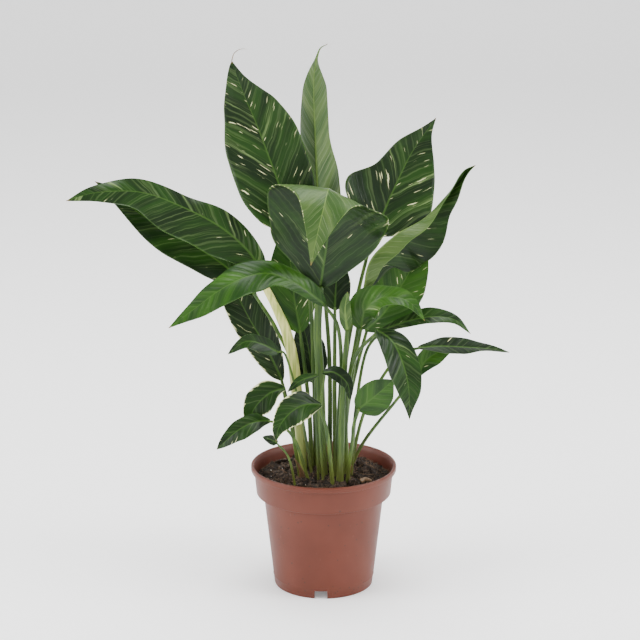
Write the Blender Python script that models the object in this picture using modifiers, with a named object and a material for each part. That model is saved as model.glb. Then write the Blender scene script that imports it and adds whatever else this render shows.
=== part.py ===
"""A potted peace lily: a thin-walled nursery pot, its peat, and a clump of leaves on slender stems.

Everything is in metres. The pot stands on the ground plane with its axis on the Z axis, and -Y is
the plant's front. A leaf is a blade laid along its midrib, and a stem that carries it up from the
peat. Touching solids keep a small clear gap.
"""

import math
from dataclasses import dataclass

import bpy
import numpy as np

GAP = 0.0003

# ---- the pot ---------------------------------------------------------------
POT_HEIGHT = 0.103
LIP_RADIUS = 0.060
LIP_DEPTH = 0.0048
BAND_TOP_RADIUS = 0.0572
BAND_FOOT_RADIUS = 0.0554
BAND_FOOT_HEIGHT = 0.0792
BODY_TOP_RADIUS = 0.0496
FOOT_RADIUS = 0.0404
WALL = 0.0012
FLOOR_TOP = 0.0083
FLOOR_UNDER = 0.0065
DISH_RADIUS = 0.016
DISH_FLOOR = 0.0018
POT_SEGMENTS = 52
NOTCH_COUNT = 4
NOTCH_WIDTH = 0.0104
NOTCH_HEIGHT = 0.007
NOTCH_TURN = -93.2  # degrees: the first notch is just left of dead front
SLOT_WIDTH = 0.006
SLOT_INNER = 0.026
SLOT_OUTER = 0.035

# ---- the peat --------------------------------------------------------------
SOIL_SEGMENTS = 32
SOIL_RADIUS = 0.0545
SOIL_EDGE_HEIGHT = 0.092
SOIL_CROWN_HEIGHT = 0.0965
SOIL_RINGS = (0.050, 0.042, 0.032, 0.020, 0.010)

# ---- leaves ----------------------------------------------------------------
BLADE_THICKNESS = 0.0006
BLADE_FOOT_HALF_WIDTH = 0.0013
BLADE_TIP_HALF_WIDTH = 0.00035
WIDTH_STATIONS = (0.0, 0.1, 0.3, 0.5, 0.7, 0.9, 1.0)
COLUMNS = 2  # faces from the midrib to each edge
STEM_CLEARANCE = 0.0005
TURN_CLEARANCE = 0.0013  # more where the blade turns sharply off its stem


@dataclass(frozen=True)
class Leaf:
    """One leaf. Routes are points (x, y, z); widths run from the midrib to the edge.

    midrib: from the foot of the blade to its tip.
    left, right: half widths at 10, 30, 50, 70 and 90 % of the blade.
    face: directions that the upper side looks in, spaced evenly from foot to tip.
    fold: how far each half is lifted towards the upper side, in degrees, left and right.
    curl: the extra lift gained from midrib to edge, in degrees, left and right.
    stem: from the peat to the foot of the blade.
    radius: the stem's radius at the peat and at the blade.
    rows: cross-sections along the blade.
    """

    name: str
    midrib: tuple
    left: tuple
    right: tuple
    face: tuple
    fold: tuple
    curl: tuple
    stem: tuple
    radius: tuple
    rows: int = 11


LEAVES = (
    Leaf(
        name="tall_left",
        midrib=((-0.023, 0.008, 0.299), (-0.038, 0.016, 0.341), (-0.054, 0.024, 0.383),
            (-0.063, 0.026, 0.404), (-0.071, 0.022, 0.427), (-0.073, 0.018, 0.435)),
        left=(0.024, 0.033, 0.032, 0.023, 0.009),
        right=(0.022, 0.03, 0.03, 0.022, 0.005),
        face=((0, -1, 0.2), (0, -1, 0.2), (0.1, -1, 0.1)),
        fold=(6, 6),
        curl=(4, 4),
        stem=((-0.006, 0.004, 0.093), (-0.008, 0.004, 0.18), (-0.012, 0.006, 0.25),
            (-0.023, 0.008, 0.299)),
        radius=(0.0022, 0.0014),
    ),
    Leaf(
        name="tall_centre",
        midrib=((-0.003, 0.018, 0.289), (-0.005, 0.026, 0.328), (-0.007, 0.032, 0.376),
            (-0.008, 0.03, 0.417), (-0.004, 0.02, 0.442), (0.003, 0.014, 0.449)),
        left=(0.027, 0.025, 0.016, 0.015, 0.001),
        right=(0.019, 0.019, 0.019, 0.014, 0.001),
        face=((0, 1, 0.1), (0, 1, 0.1), (0, 1, 0.3)),
        fold=(30, 35),
        curl=(30, 30),
        stem=((0.005, 0.012, 0.093), (0.005, 0.02, 0.18), (0.001, 0.022, 0.24),
            (-0.003, 0.018, 0.289)),
        radius=(0.0022, 0.0014),
    ),
    Leaf(
        name="front_drooping",
        midrib=((-0.003, -0.012, 0.256), (0.002, -0.02, 0.292), (0.005, -0.032, 0.325),
            (0.004, -0.05, 0.346), (0.0, -0.068, 0.336), (-0.006, -0.078, 0.312),
            (-0.01, -0.082, 0.293)),
        left=(0.022, 0.046, 0.05, 0.022, 0.006),
        right=(0.018, 0.042, 0.05, 0.02, 0.006),
        face=((0, -1, 0.1), (-0.1, -1, -0.2), (-0.3, -0.5, -1), (-0.1, 0.9, -0.5), (0, 1, 0)),
        fold=(8, 8),
        curl=(6, 0),
        stem=((-0.001, -0.01, 0.095), (-0.003, -0.012, 0.179), (-0.005, -0.012, 0.221),
            (-0.003, -0.012, 0.256)),
        radius=(0.0044, 0.003),
    ),
    Leaf(
        name="upper_right",
        midrib=((0.039, 0.02, 0.292), (0.048, 0.026, 0.308), (0.056, 0.034, 0.325),
            (0.072, 0.044, 0.356), (0.091, 0.04, 0.385)),
        left=(0.026, 0.039, 0.022, 0.015, 0.004),
        right=(0.02, 0.036, 0.03, 0.02, 0.004),
        face=((0, -1, 0.2), (0, -1, 0.2), (0, -1, 0.1)),
        fold=(6, 6),
        curl=(4, 4),
        stem=((0.01, 0.009, 0.093), (0.017, 0.012, 0.18), (0.027, 0.015, 0.24),
            (0.039, 0.02, 0.292)),
        radius=(0.0022, 0.0014),
    ),
    Leaf(
        name="right_arching",
        midrib=((0.032, -0.008, 0.252), (0.038, -0.014, 0.28), (0.058, -0.012, 0.3),
            (0.08, -0.006, 0.312), (0.096, 0.004, 0.326), (0.112, 0.014, 0.342),
            (0.122, 0.02, 0.35)),
        left=(0.008, 0.013, 0.011, 0.008, 0.006),
        right=(0.02, 0.038, 0.032, 0.012, 0.005),
        face=((0.5, 0.7, -0.5), (0.5, 0.6, -0.6), (0.3, -0.2, -0.6), (0.3, -0.9, 0.2)),
        fold=(20, 95),
        curl=(10, 10),
        stem=((0.012, -0.002, 0.093), (0.018, -0.004, 0.16), (0.026, -0.006, 0.21),
            (0.032, -0.008, 0.252)),
        radius=(0.0022, 0.0014),
    ),
    Leaf(
        name="right_back",
        midrib=((0.034, 0.005, 0.216), (0.05, 0.018, 0.228), (0.064, 0.028, 0.248),
            (0.074, 0.034, 0.266), (0.08, 0.036, 0.292)),
        left=(0.012, 0.024, 0.024, 0.016, 0.006),
        right=(0.01, 0.02, 0.02, 0.014, 0.005),
        face=((0, -1, 0.2), (0, -1, 0.2), (0, -1, 0.2)),
        fold=(8, 8),
        curl=(0, 0),
        stem=((0.014, 0.004, 0.093), (0.018, 0.006, 0.14), (0.026, 0.006, 0.18),
            (0.034, 0.005, 0.216)),
        radius=(0.0022, 0.0014),
    ),
    Leaf(
        name="right_middle",
        midrib=((0.03, -0.014, 0.222), (0.033, -0.02, 0.24), (0.045, -0.024, 0.251),
            (0.06, -0.03, 0.253), (0.071, -0.034, 0.248), (0.08, -0.04, 0.237)),
        left=(0.01, 0.015, 0.01, 0.008, 0.003),
        right=(0.006, 0.012, 0.009, 0.007, 0.003),
        face=((0, -1, 0.3), (0, -0.8, 0.8), (0.3, -0.6, 0.9)),
        fold=(8, 8),
        curl=(0, 0),
        stem=((0.016, -0.008, 0.093), (0.018, -0.01, 0.14), (0.024, -0.012, 0.19),
            (0.03, -0.014, 0.222)),
        radius=(0.0022, 0.0014),
    ),
    Leaf(
        name="left_arching",
        midrib=((0.002, -0.018, 0.243), (-0.019, -0.026, 0.262), (-0.042, -0.034, 0.274),
            (-0.062, -0.042, 0.273), (-0.082, -0.048, 0.264), (-0.102, -0.053, 0.25),
            (-0.122, -0.058, 0.236)),
        left=(0.005, 0.008, 0.015, 0.013, 0.005),
        right=(0.008, 0.011, 0.014, 0.011, 0.004),
        face=((0, -1, 0.4), (0, -0.8, 0.8), (-0.2, -0.9, 0.7)),
        fold=(4, 4),
        curl=(-20, -20),
        stem=((0.009, -0.014, 0.093), (0.013, -0.018, 0.163), (0.014, -0.019, 0.198),
            (0.011, -0.019, 0.227), (0.002, -0.018, 0.243)),
        radius=(0.0022, 0.0014),
    ),
    Leaf(
        name="far_left_upper",
        midrib=((-0.05, 0.004, 0.258), (-0.058, 0.008, 0.278), (-0.082, 0.012, 0.3),
            (-0.116, 0.014, 0.318), (-0.147, 0.01, 0.33), (-0.182, 0.004, 0.331),
            (-0.206, 0.0, 0.325)),
        left=(0.012, 0.024, 0.025, 0.014, 0.006),
        right=(0.009, 0.014, 0.01, 0.011, 0.005),
        face=((0, -1, 0.5), (0.2, -1, 0.5), (0, -1, 0.6)),
        fold=(0, 0),
        curl=(-10, -10),
        stem=((-0.016, -0.006, 0.093), (-0.023, -0.004, 0.177), (-0.029, -0.002, 0.212),
            (-0.037, 0.0, 0.233), (-0.05, 0.004, 0.258)),
        radius=(0.0026, 0.0032),
    ),
    Leaf(
        name="far_left_lower",
        midrib=((-0.056, 0.02, 0.242), (-0.081, 0.026, 0.265), (-0.109, 0.03, 0.283),
            (-0.141, 0.03, 0.302), (-0.165, 0.028, 0.32), (-0.185, 0.024, 0.336)),
        left=(0.01, 0.018, 0.02, 0.013, 0.004),
        right=(0.008, 0.014, 0.016, 0.014, 0.006),
        face=((0, -1, 0.5), (0.2, -1, 0.5), (0, -1, 0.6)),
        fold=(8, 8),
        curl=(0, 0),
        stem=((-0.014, 0.004, 0.093), (-0.023, 0.006, 0.177), (-0.038, 0.008, 0.215),
            (-0.05, 0.014, 0.234), (-0.056, 0.02, 0.242)),
        radius=(0.0022, 0.0014),
    ),
    Leaf(
        name="left_back_ribbon",
        midrib=((-0.034, 0.01, 0.172), (-0.047, 0.016, 0.198), (-0.062, 0.02, 0.224),
            (-0.074, 0.026, 0.248), (-0.082, 0.028, 0.268)),
        left=(0.009, 0.014, 0.015, 0.014, 0.006),
        right=(0.007, 0.013, 0.015, 0.015, 0.006),
        face=((0, -1, 0.2), (0, -1, 0.2), (0, -1, 0.2)),
        fold=(8, 8),
        curl=(0, 0),
        stem=((-0.019, 0.009, 0.093), (-0.025, 0.011, 0.13), (-0.034, 0.01, 0.172)),
        radius=(0.0022, 0.0014),
    ),
    Leaf(
        name="small_curled",
        midrib=((-0.036, -0.014, 0.203), (-0.05, -0.02, 0.212), (-0.063, -0.024, 0.215),
            (-0.077, -0.026, 0.205)),
        left=(0.005, 0.007, 0.007, 0.005, 0.002),
        right=(0.004, 0.006, 0.006, 0.004, 0.002),
        face=((0, -1, 0.4), (0, -1, 0.6), (0, -1, 0.4)),
        fold=(8, 8),
        curl=(0, 0),
        stem=((-0.008, -0.014, 0.093), (-0.018, -0.014, 0.15), (-0.03, -0.012, 0.198),
            (-0.036, -0.014, 0.203)),
        radius=(0.0013, 0.0009),
        rows=8,
    ),
    Leaf(
        name="centre_left_back",
        midrib=((-0.019, 0.012, 0.212), (-0.024, 0.018, 0.24), (-0.027, 0.022, 0.268),
            (-0.034, 0.026, 0.298)),
        left=(0.012, 0.02, 0.022, 0.016, 0.006),
        right=(0.01, 0.018, 0.02, 0.014, 0.006),
        face=((0, -1, 0.2), (0, -1, 0.2), (0, -1, 0.2)),
        fold=(8, 8),
        curl=(0, 0),
        stem=((-0.01, 0.0, 0.093), (-0.012, 0.004, 0.15), (-0.019, 0.012, 0.212)),
        radius=(0.0022, 0.0014),
    ),
    Leaf(
        name="centre_low_dark",
        midrib=((-0.008, 0.01, 0.17), (-0.013, 0.014, 0.201), (-0.019, 0.018, 0.225)),
        left=(0.008, 0.014, 0.014, 0.01, 0.004),
        right=(0.008, 0.014, 0.014, 0.01, 0.004),
        face=((0, -1, 0.2), (0, -1, 0.2), (0, -1, 0.2)),
        fold=(8, 8),
        curl=(0, 0),
        stem=((-0.004, 0.008, 0.093), (-0.006, 0.009, 0.13), (-0.008, 0.01, 0.17)),
        radius=(0.0022, 0.0014),
        rows=8,
    ),
    Leaf(
        name="right_front_drooping",
        midrib=((0.042, -0.03, 0.227), (0.054, -0.042, 0.221), (0.062, -0.052, 0.207),
            (0.067, -0.058, 0.187), (0.068, -0.06, 0.161)),
        left=(0.006, 0.012, 0.013, 0.01, 0.003),
        right=(0.008, 0.013, 0.014, 0.01, 0.003),
        face=((0.1, -0.6, 0.8), (0.1, -0.9, 0.6), (0.1, -1, 0.2)),
        fold=(10, 10),
        curl=(0, 0),
        stem=((0.02, -0.016, 0.093), (0.018, -0.022, 0.15), (0.024, -0.026, 0.2),
            (0.042, -0.03, 0.227)),
        radius=(0.0022, 0.0014),
    ),
    Leaf(
        name="right_low_rounded",
        midrib=((0.027, -0.04, 0.163), (0.037, -0.046, 0.173), (0.046, -0.052, 0.183),
            (0.055, -0.056, 0.193)),
        left=(0.008, 0.012, 0.013, 0.011, 0.005),
        right=(0.009, 0.014, 0.014, 0.012, 0.005),
        face=((0, -1, 0.2), (0, -1, 0.2), (0, -1, 0.2)),
        fold=(8, 8),
        curl=(0, 0),
        stem=((0.018, -0.026, 0.093), (0.023, -0.034, 0.134), (0.024, -0.038, 0.149),
            (0.027, -0.04, 0.163)),
        radius=(0.0016, 0.0013),
        rows=8,
    ),
    Leaf(
        name="right_thin_arching",
        midrib=((0.046, -0.006, 0.219), (0.067, -0.01, 0.228), (0.087, -0.014, 0.233),
            (0.105, -0.016, 0.231), (0.118, -0.018, 0.22)),
        left=(0.003, 0.006, 0.008, 0.006, 0.002),
        right=(0.003, 0.006, 0.007, 0.005, 0.002),
        face=((0, -0.8, 0.7), (0, -0.7, 0.8), (0.2, -0.7, 0.7)),
        fold=(8, 8),
        curl=(0, 0),
        stem=((0.022, -0.008, 0.093), (0.026, -0.008, 0.15), (0.034, -0.006, 0.2),
            (0.046, -0.006, 0.219)),
        radius=(0.0016, 0.0012),
        rows=8,
    ),
    Leaf(
        name="right_lowest_long",
        midrib=((0.077, 0.0, 0.203), (0.095, 0.004, 0.203), (0.115, 0.008, 0.201),
            (0.136, 0.01, 0.199), (0.152, 0.01, 0.196)),
        left=(0.004, 0.008, 0.008, 0.005, 0.002),
        right=(0.004, 0.008, 0.007, 0.003, 0.0015),
        face=((0, -0.7, 0.8), (0, -0.7, 0.8), (0, -0.7, 0.8)),
        fold=(8, 8),
        curl=(0, 0),
        stem=((0.02, 0.0, 0.093), (0.034, 0.0, 0.15), (0.06, 0.0, 0.195), (0.077, 0.0, 0.203)),
        radius=(0.0016, 0.0012),
        rows=8,
    ),
    Leaf(
        name="right_low_back",
        midrib=((0.077, 0.012, 0.175), (0.084, 0.016, 0.187), (0.096, 0.02, 0.194),
            (0.109, 0.024, 0.198)),
        left=(0.004, 0.008, 0.009, 0.007, 0.003),
        right=(0.004, 0.008, 0.009, 0.007, 0.003),
        face=((0, -1, 0.3), (0, -1, 0.3), (0, -1, 0.3)),
        fold=(8, 8),
        curl=(0, 0),
        stem=((0.018, 0.008, 0.093), (0.034, 0.01, 0.12), (0.06, 0.01, 0.155),
            (0.077, 0.012, 0.175)),
        radius=(0.0016, 0.0012),
        rows=8,
    ),
    Leaf(
        name="low_left_tip",
        midrib=((-0.043, -0.032, 0.151), (-0.055, -0.038, 0.152), (-0.069, -0.042, 0.146),
            (-0.086, -0.045, 0.131)),
        left=(0.004, 0.009, 0.01, 0.007, 0.003),
        right=(0.004, 0.008, 0.008, 0.006, 0.003),
        face=((0, -0.8, 0.7), (0, -0.8, 0.7), (-0.1, -0.9, 0.5)),
        fold=(8, 8),
        curl=(0, 0),
        stem=((-0.01, -0.022, 0.093), (-0.022, -0.028, 0.13), (-0.034, -0.031, 0.147),
            (-0.043, -0.032, 0.151)),
        radius=(0.0014, 0.0011),
        rows=8,
    ),
    Leaf(
        name="left_cream_margin",
        midrib=((-0.031, -0.014, 0.173), (-0.043, -0.017, 0.17), (-0.054, -0.021, 0.161),
            (-0.059, -0.023, 0.151), (-0.057, -0.024, 0.141)),
        left=(0.004, 0.01, 0.012, 0.008, 0.002),
        right=(0.006, 0.012, 0.012, 0.008, 0.003),
        face=((0, -0.8, 0.7), (0, -0.9, 0.5), (0, -1, 0.1)),
        fold=(8, 8),
        curl=(0, 0),
        stem=((-0.018, -0.012, 0.093), (-0.026, -0.02, 0.14), (-0.031, -0.014, 0.173)),
        radius=(0.0016, 0.0012),
        rows=8,
    ),
    Leaf(
        name="front_cream_margin",
        midrib=((-0.002, -0.036, 0.166), (-0.016, -0.044, 0.168), (-0.028, -0.052, 0.163),
            (-0.036, -0.058, 0.153), (-0.038, -0.06, 0.143)),
        left=(0.006, 0.012, 0.013, 0.009, 0.003),
        right=(0.005, 0.012, 0.012, 0.008, 0.003),
        face=((0, -0.8, 0.8), (0, -0.9, 0.6), (0, -1, 0.2)),
        fold=(8, 8),
        curl=(0, 0),
        stem=((0.008, -0.032, 0.093), (0.003, -0.036, 0.14), (-0.002, -0.036, 0.166)),
        radius=(0.0018, 0.0014),
        rows=8,
    ),
    Leaf(
        name="tiny_shoot",
        midrib=((-0.037, -0.04, 0.135), (-0.043, -0.044, 0.139), (-0.049, -0.046, 0.142)),
        left=(0.002, 0.004, 0.004, 0.003, 0.0015),
        right=(0.002, 0.004, 0.004, 0.003, 0.0015),
        face=((0, -0.8, 0.6), (0, -0.8, 0.6)),
        fold=(8, 8),
        curl=(0, 0),
        stem=((-0.022, -0.032, 0.093), (-0.028, -0.036, 0.12), (-0.037, -0.04, 0.135)),
        radius=(0.0011, 0.0008),
        rows=8,
    ),
    Leaf(
        name="small_across_stem",
        midrib=((-0.001, -0.03, 0.191), (0.009, -0.034, 0.192), (0.019, -0.038, 0.184),
            (0.021, -0.04, 0.171)),
        left=(0.003, 0.006, 0.006, 0.004, 0.002),
        right=(0.003, 0.006, 0.006, 0.004, 0.002),
        face=((0, -0.8, 0.7), (0, -0.9, 0.5)),
        fold=(8, 8),
        curl=(0, 0),
        stem=((0.0, -0.024, 0.093), (-0.003, -0.026, 0.15), (-0.001, -0.03, 0.191)),
        radius=(0.0012, 0.0009),
        rows=8,
    ),
    Leaf(
        name="small_twisted",
        midrib=((-0.005, -0.024, 0.187), (-0.019, -0.03, 0.184), (-0.029, -0.034, 0.176)),
        left=(0.002, 0.004, 0.004, 0.003, 0.0015),
        right=(0.002, 0.004, 0.004, 0.003, 0.0015),
        face=((0, -0.8, 0.7), (0, -0.9, 0.5)),
        fold=(8, 8),
        curl=(0, 0),
        stem=((-0.004, -0.022, 0.093), (-0.006, -0.023, 0.15), (-0.005, -0.024, 0.187)),
        radius=(0.0012, 0.0009),
        rows=8,
    ),
    Leaf(
        name="small_upright",
        midrib=((0.019, -0.024, 0.223), (0.017, -0.026, 0.242), (0.019, -0.026, 0.257)),
        left=(0.003, 0.005, 0.005, 0.004, 0.002),
        right=(0.003, 0.005, 0.005, 0.004, 0.002),
        face=((0, 1, 0.1), (0, 1, 0.1)),
        fold=(8, 8),
        curl=(0, 0),
        stem=((0.013, -0.028, 0.093), (0.015, -0.026, 0.16), (0.019, -0.024, 0.223)),
        radius=(0.0032, 0.002),
        rows=8,
    ),
    Leaf(
        name="centre_shaded",
        midrib=((0.009, 0.006, 0.233), (0.01, 0.01, 0.253), (0.012, 0.012, 0.274)),
        left=(0.008, 0.014, 0.015, 0.012, 0.006),
        right=(0.008, 0.012, 0.012, 0.01, 0.005),
        face=((0, -1, 0.1), (0, -1, 0.1)),
        fold=(8, 8),
        curl=(0, 0),
        stem=((0.01, 0.002, 0.093), (0.009, 0.004, 0.16), (0.009, 0.006, 0.233)),
        radius=(0.0022, 0.0014),
    ),
)


def unit(v):
    """The same vectors with length one."""
    return v / np.maximum(np.linalg.norm(v, axis=-1, keepdims=True), 1e-9)


def route(points, count):
    """Evenly spaced places on a smooth curve through the points."""
    p = np.asarray(points, float)
    p = np.vstack([2 * p[0] - p[1], p, 2 * p[-1] - p[-2]])
    fine = []
    for i in range(1, len(p) - 2):
        a, b, c, d = p[i - 1 : i + 3]
        for t in np.linspace(0, 1, 24, endpoint=False):
            bend = (2 * a - 5 * b + 4 * c - d) * t**2 + (3 * b - a - 3 * c + d) * t**3
            fine.append(b + 0.5 * ((c - a) * t + bend))
    fine = np.array(fine + [p[-2]])
    run = np.concatenate([[0], np.cumsum(np.linalg.norm(np.diff(fine, axis=0), axis=1))])
    at = np.linspace(0, run[-1], count)
    return np.stack([np.interp(at, run, fine[:, k]) for k in range(3)], 1)


def half_widths(widths, u):
    """The half width along the blade, on a curve through the given widths that doesn't overshoot."""
    x = np.array(WIDTH_STATIONS)
    y = np.array([BLADE_FOOT_HALF_WIDTH, *widths, 0.0])
    step = np.diff(x)
    slope = np.diff(y) / step
    m = np.zeros(len(x))
    m[0], m[-1] = 1.6 * slope[0], slope[-1]
    for i in range(1, len(x) - 1):
        if slope[i - 1] * slope[i] > 0:
            near, far = 2 * step[i] + step[i - 1], step[i] + 2 * step[i - 1]
            m[i] = (near + far) / (near / slope[i - 1] + far / slope[i])
    k = np.clip(np.searchsorted(x, u, side="right") - 1, 0, len(step) - 1)
    t = (u - x[k]) / step[k]
    rise = (3 * t**2 - 2 * t**3) * (y[k + 1] - y[k])
    ease = (t**3 - 2 * t**2 + t) * step[k] * m[k] + (t**3 - t**2) * step[k] * m[k + 1]
    return np.maximum(y[k] + rise + ease, BLADE_TIP_HALF_WIDTH)


def blade_grid(leaf):
    """Surface points of a blade: rows run from foot to tip, columns from left to right."""
    u = np.linspace(0, 1, leaf.rows)
    centre = route(leaf.midrib, leaf.rows)
    tangent = unit(np.gradient(centre, axis=0))
    face = unit(np.array(leaf.face, float))
    spots = np.linspace(0, 1, len(face))
    normal = np.stack([np.interp(u, spots, face[:, k]) for k in range(3)], 1)
    normal = unit(normal - np.sum(normal * tangent, 1, keepdims=True) * tangent)
    rightward = np.cross(tangent, normal)
    halves = []
    for side in (0, 1):
        widths = half_widths((leaf.left, leaf.right)[side], u)[:, None]
        outward = rightward * (-1, 1)[side]
        place = centre
        columns = []
        for j in range(COLUMNS):
            for part in (0.25, 0.75):
                lift = math.radians(leaf.fold[side] + leaf.curl[side] * (j + part) / COLUMNS)
                place = place + widths * (math.cos(lift) * outward + math.sin(lift) * normal) / (2 * COLUMNS)
            columns.append(place)
        halves.append(columns)
    return np.stack(halves[0][::-1] + [centre] + halves[1], 1)


def soil_height(x, y):
    """Height of the peat's top surface."""
    slope = min(math.hypot(x, y) / SOIL_RADIUS, 1.0) ** 2
    return SOIL_CROWN_HEIGHT - (SOIL_CROWN_HEIGHT - SOIL_EDGE_HEIGHT) * slope


def material(name, colour, roughness):
    """A plain principled material."""
    mat = bpy.data.materials.new(name)
    mat.use_nodes = True
    bsdf = mat.node_tree.nodes["Principled BSDF"]
    bsdf.inputs["Base Color"].default_value = (*colour, 1.0)
    bsdf.inputs["Roughness"].default_value = roughness
    return mat


def smooth(mesh, degrees):
    """Smooth shading that keeps edges sharper than the angle."""
    mesh.shade_smooth()
    mesh.set_sharp_from_angle(angle=math.radians(degrees))


def turned(name, profile, segments, mat, collection):
    """A turned solid from a profile (radius, height) that runs down its outer side."""
    mesh = bpy.data.meshes.new(name)
    edges = [(i, i + 1) for i in range(len(profile) - 1)]
    mesh.from_pydata([(r, 0.0, z) for r, z in profile], edges, [])
    mesh.materials.append(mat)
    obj = bpy.data.objects.new(name, mesh)
    collection.objects.link(obj)
    screw = obj.modifiers.new("turn", "SCREW")
    screw.axis = "Z"
    screw.steps = screw.render_steps = segments
    screw.use_merge_vertices = True
    screw.merge_threshold = 0.00001
    screw.use_smooth_shade = True
    return obj


def cut_box(target, name, size, centre, turn, cutters):
    """Cuts a box out of the target; the box is turned about the Z axis, in degrees."""
    bpy.ops.mesh.primitive_cube_add(size=1)
    box = bpy.context.object
    box.name = name
    a = math.radians(turn)
    x, y, z = centre
    box.location = (x * math.cos(a) - y * math.sin(a), x * math.sin(a) + y * math.cos(a), z)
    box.rotation_euler = (0, 0, a)
    box.scale = size
    box.hide_render = True
    box.display_type = "WIRE"
    for old in box.users_collection:
        old.objects.unlink(box)
    cutters.objects.link(box)
    cut = target.modifiers.new(name, "BOOLEAN")
    cut.operation = "DIFFERENCE"
    cut.object = box


def build_pot(mat, plant, cutters):
    """The nursery pot: lip, upright band, tapered body, floor with a dished middle, notched foot."""
    lip_foot = POT_HEIGHT - LIP_DEPTH
    profile = [
        (0.0, DISH_FLOOR),
        (DISH_RADIUS + 0.0014, DISH_FLOOR),
        (DISH_RADIUS + 0.0032, FLOOR_TOP),
        (FOOT_RADIUS - 0.0010, FLOOR_TOP),
        (FOOT_RADIUS, FLOOR_TOP + 0.0008),
        (BODY_TOP_RADIUS - WALL, BAND_FOOT_HEIGHT + 0.0002),
        (BAND_FOOT_RADIUS - WALL, BAND_FOOT_HEIGHT + 0.0014),
        (BAND_TOP_RADIUS - WALL, lip_foot),
        (BAND_TOP_RADIUS + 0.0004, POT_HEIGHT),
        (LIP_RADIUS - 0.0008, POT_HEIGHT),
        (LIP_RADIUS, POT_HEIGHT - 0.0008),
        (LIP_RADIUS, lip_foot + 0.0008),
        (LIP_RADIUS - 0.0008, lip_foot),
        (BAND_TOP_RADIUS, lip_foot - 0.0004),
        (BAND_FOOT_RADIUS, BAND_FOOT_HEIGHT),
        (BODY_TOP_RADIUS, BAND_FOOT_HEIGHT - 0.0009),
        (FOOT_RADIUS + 0.0006, 0.0012),
        (FOOT_RADIUS, 0.0),
        (FOOT_RADIUS - WALL, 0.0),
        (FOOT_RADIUS - 0.0022, FLOOR_UNDER),
        (DISH_RADIUS + 0.0020, FLOOR_UNDER),
        (DISH_RADIUS, 0.0),
        (0.0, 0.0),
    ]
    pot = turned("pot", profile, POT_SEGMENTS, mat, plant)
    slot_middle = (SLOT_INNER + SLOT_OUTER) / 2
    for k in range(NOTCH_COUNT):
        turn = NOTCH_TURN + 360 * k / NOTCH_COUNT
        notch = (0.008, NOTCH_WIDTH, 2 * NOTCH_HEIGHT)
        cut_box(pot, f"notch_cut_{k + 1}", notch, (FOOT_RADIUS + 0.0006, 0, 0), turn, cutters)
        slot = (SLOT_OUTER - SLOT_INNER, SLOT_WIDTH, 0.006)
        cut_box(pot, f"slot_cut_{k + 1}", slot, (slot_middle, 0, FLOOR_TOP - 0.0009), turn, cutters)


def build_soil(mat, plant):
    """The peat that fills the pot, a little proud in the middle."""
    profile = [(0.0, SOIL_CROWN_HEIGHT)]
    profile += [(r, soil_height(r, 0)) for r in reversed(SOIL_RINGS)]
    profile += [
        (SOIL_RADIUS, SOIL_EDGE_HEIGHT - 0.001),
        (BAND_FOOT_RADIUS - WALL - 2 * GAP, BAND_FOOT_HEIGHT + 0.0018),
        (BODY_TOP_RADIUS - WALL - 2 * GAP, BAND_FOOT_HEIGHT + 0.0006),
        (FOOT_RADIUS - 2 * GAP, FLOOR_TOP + 0.0013),
        (FOOT_RADIUS - 0.0014, FLOOR_TOP + GAP),
        (DISH_RADIUS + 0.0028, FLOOR_TOP + GAP),
        (DISH_RADIUS + 0.0010, DISH_FLOOR + GAP),
        (0.0, DISH_FLOOR + GAP),
    ]
    turned("potting_soil", profile, SOIL_SEGMENTS, mat, plant)


def build_blade(leaf, mat, plant):
    """A blade: an open sheet given its thickness."""
    grid = blade_grid(leaf)
    rows, columns, _ = grid.shape
    faces = []
    for i in range(rows - 1):
        for j in range(columns - 1):
            a = i * columns + j
            faces.append((a, a + 1, a + columns + 1, a + columns))
    mesh = bpy.data.meshes.new(leaf.name + "_blade")
    mesh.from_pydata([tuple(map(float, p)) for p in grid.reshape(-1, 3)], [], faces)
    mesh.materials.append(mat)
    smooth(mesh, 50)
    blade = bpy.data.objects.new(leaf.name + "_blade", mesh)
    plant.objects.link(blade)
    thickness = blade.modifiers.new("thickness", "SOLIDIFY")
    thickness.thickness = BLADE_THICKNESS
    thickness.offset = 0


def build_stem(leaf, mat, plant):
    """A stem: a tapered round curve from just above the peat to just below its blade."""
    points = [np.array(p, float) for p in leaf.stem]
    rise = unit(points[1] - points[0])
    tilt = math.hypot(rise[0], rise[1])
    points[0][2] = soil_height(points[0][0], points[0][1]) + GAP + leaf.radius[0] * tilt
    arrival = unit(points[-1] - points[-2])
    departure = unit(np.subtract(leaf.midrib[1], leaf.midrib[0]))
    turn = float(np.linalg.norm(np.cross(arrival, departure)))
    points[-1] = points[-1] - (STEM_CLEARANCE + TURN_CLEARANCE * turn) * arrival
    count = 2 * len(points) + 1
    centre = route(points, count)
    curve = bpy.data.curves.new(leaf.name + "_stem", "CURVE")
    curve.dimensions = "3D"
    curve.bevel_depth = leaf.radius[0]
    curve.bevel_resolution = 2
    curve.use_fill_caps = True
    curve.materials.append(mat)
    spline = curve.splines.new("POLY")
    spline.points.add(count - 1)
    taper = np.linspace(1, leaf.radius[1] / leaf.radius[0], count)
    for point, place, size in zip(spline.points, centre, taper):
        point.co = (*map(float, place), 1.0)
        point.radius = float(size)
    plant.objects.link(bpy.data.objects.new(leaf.name + "_stem", curve))


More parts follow.
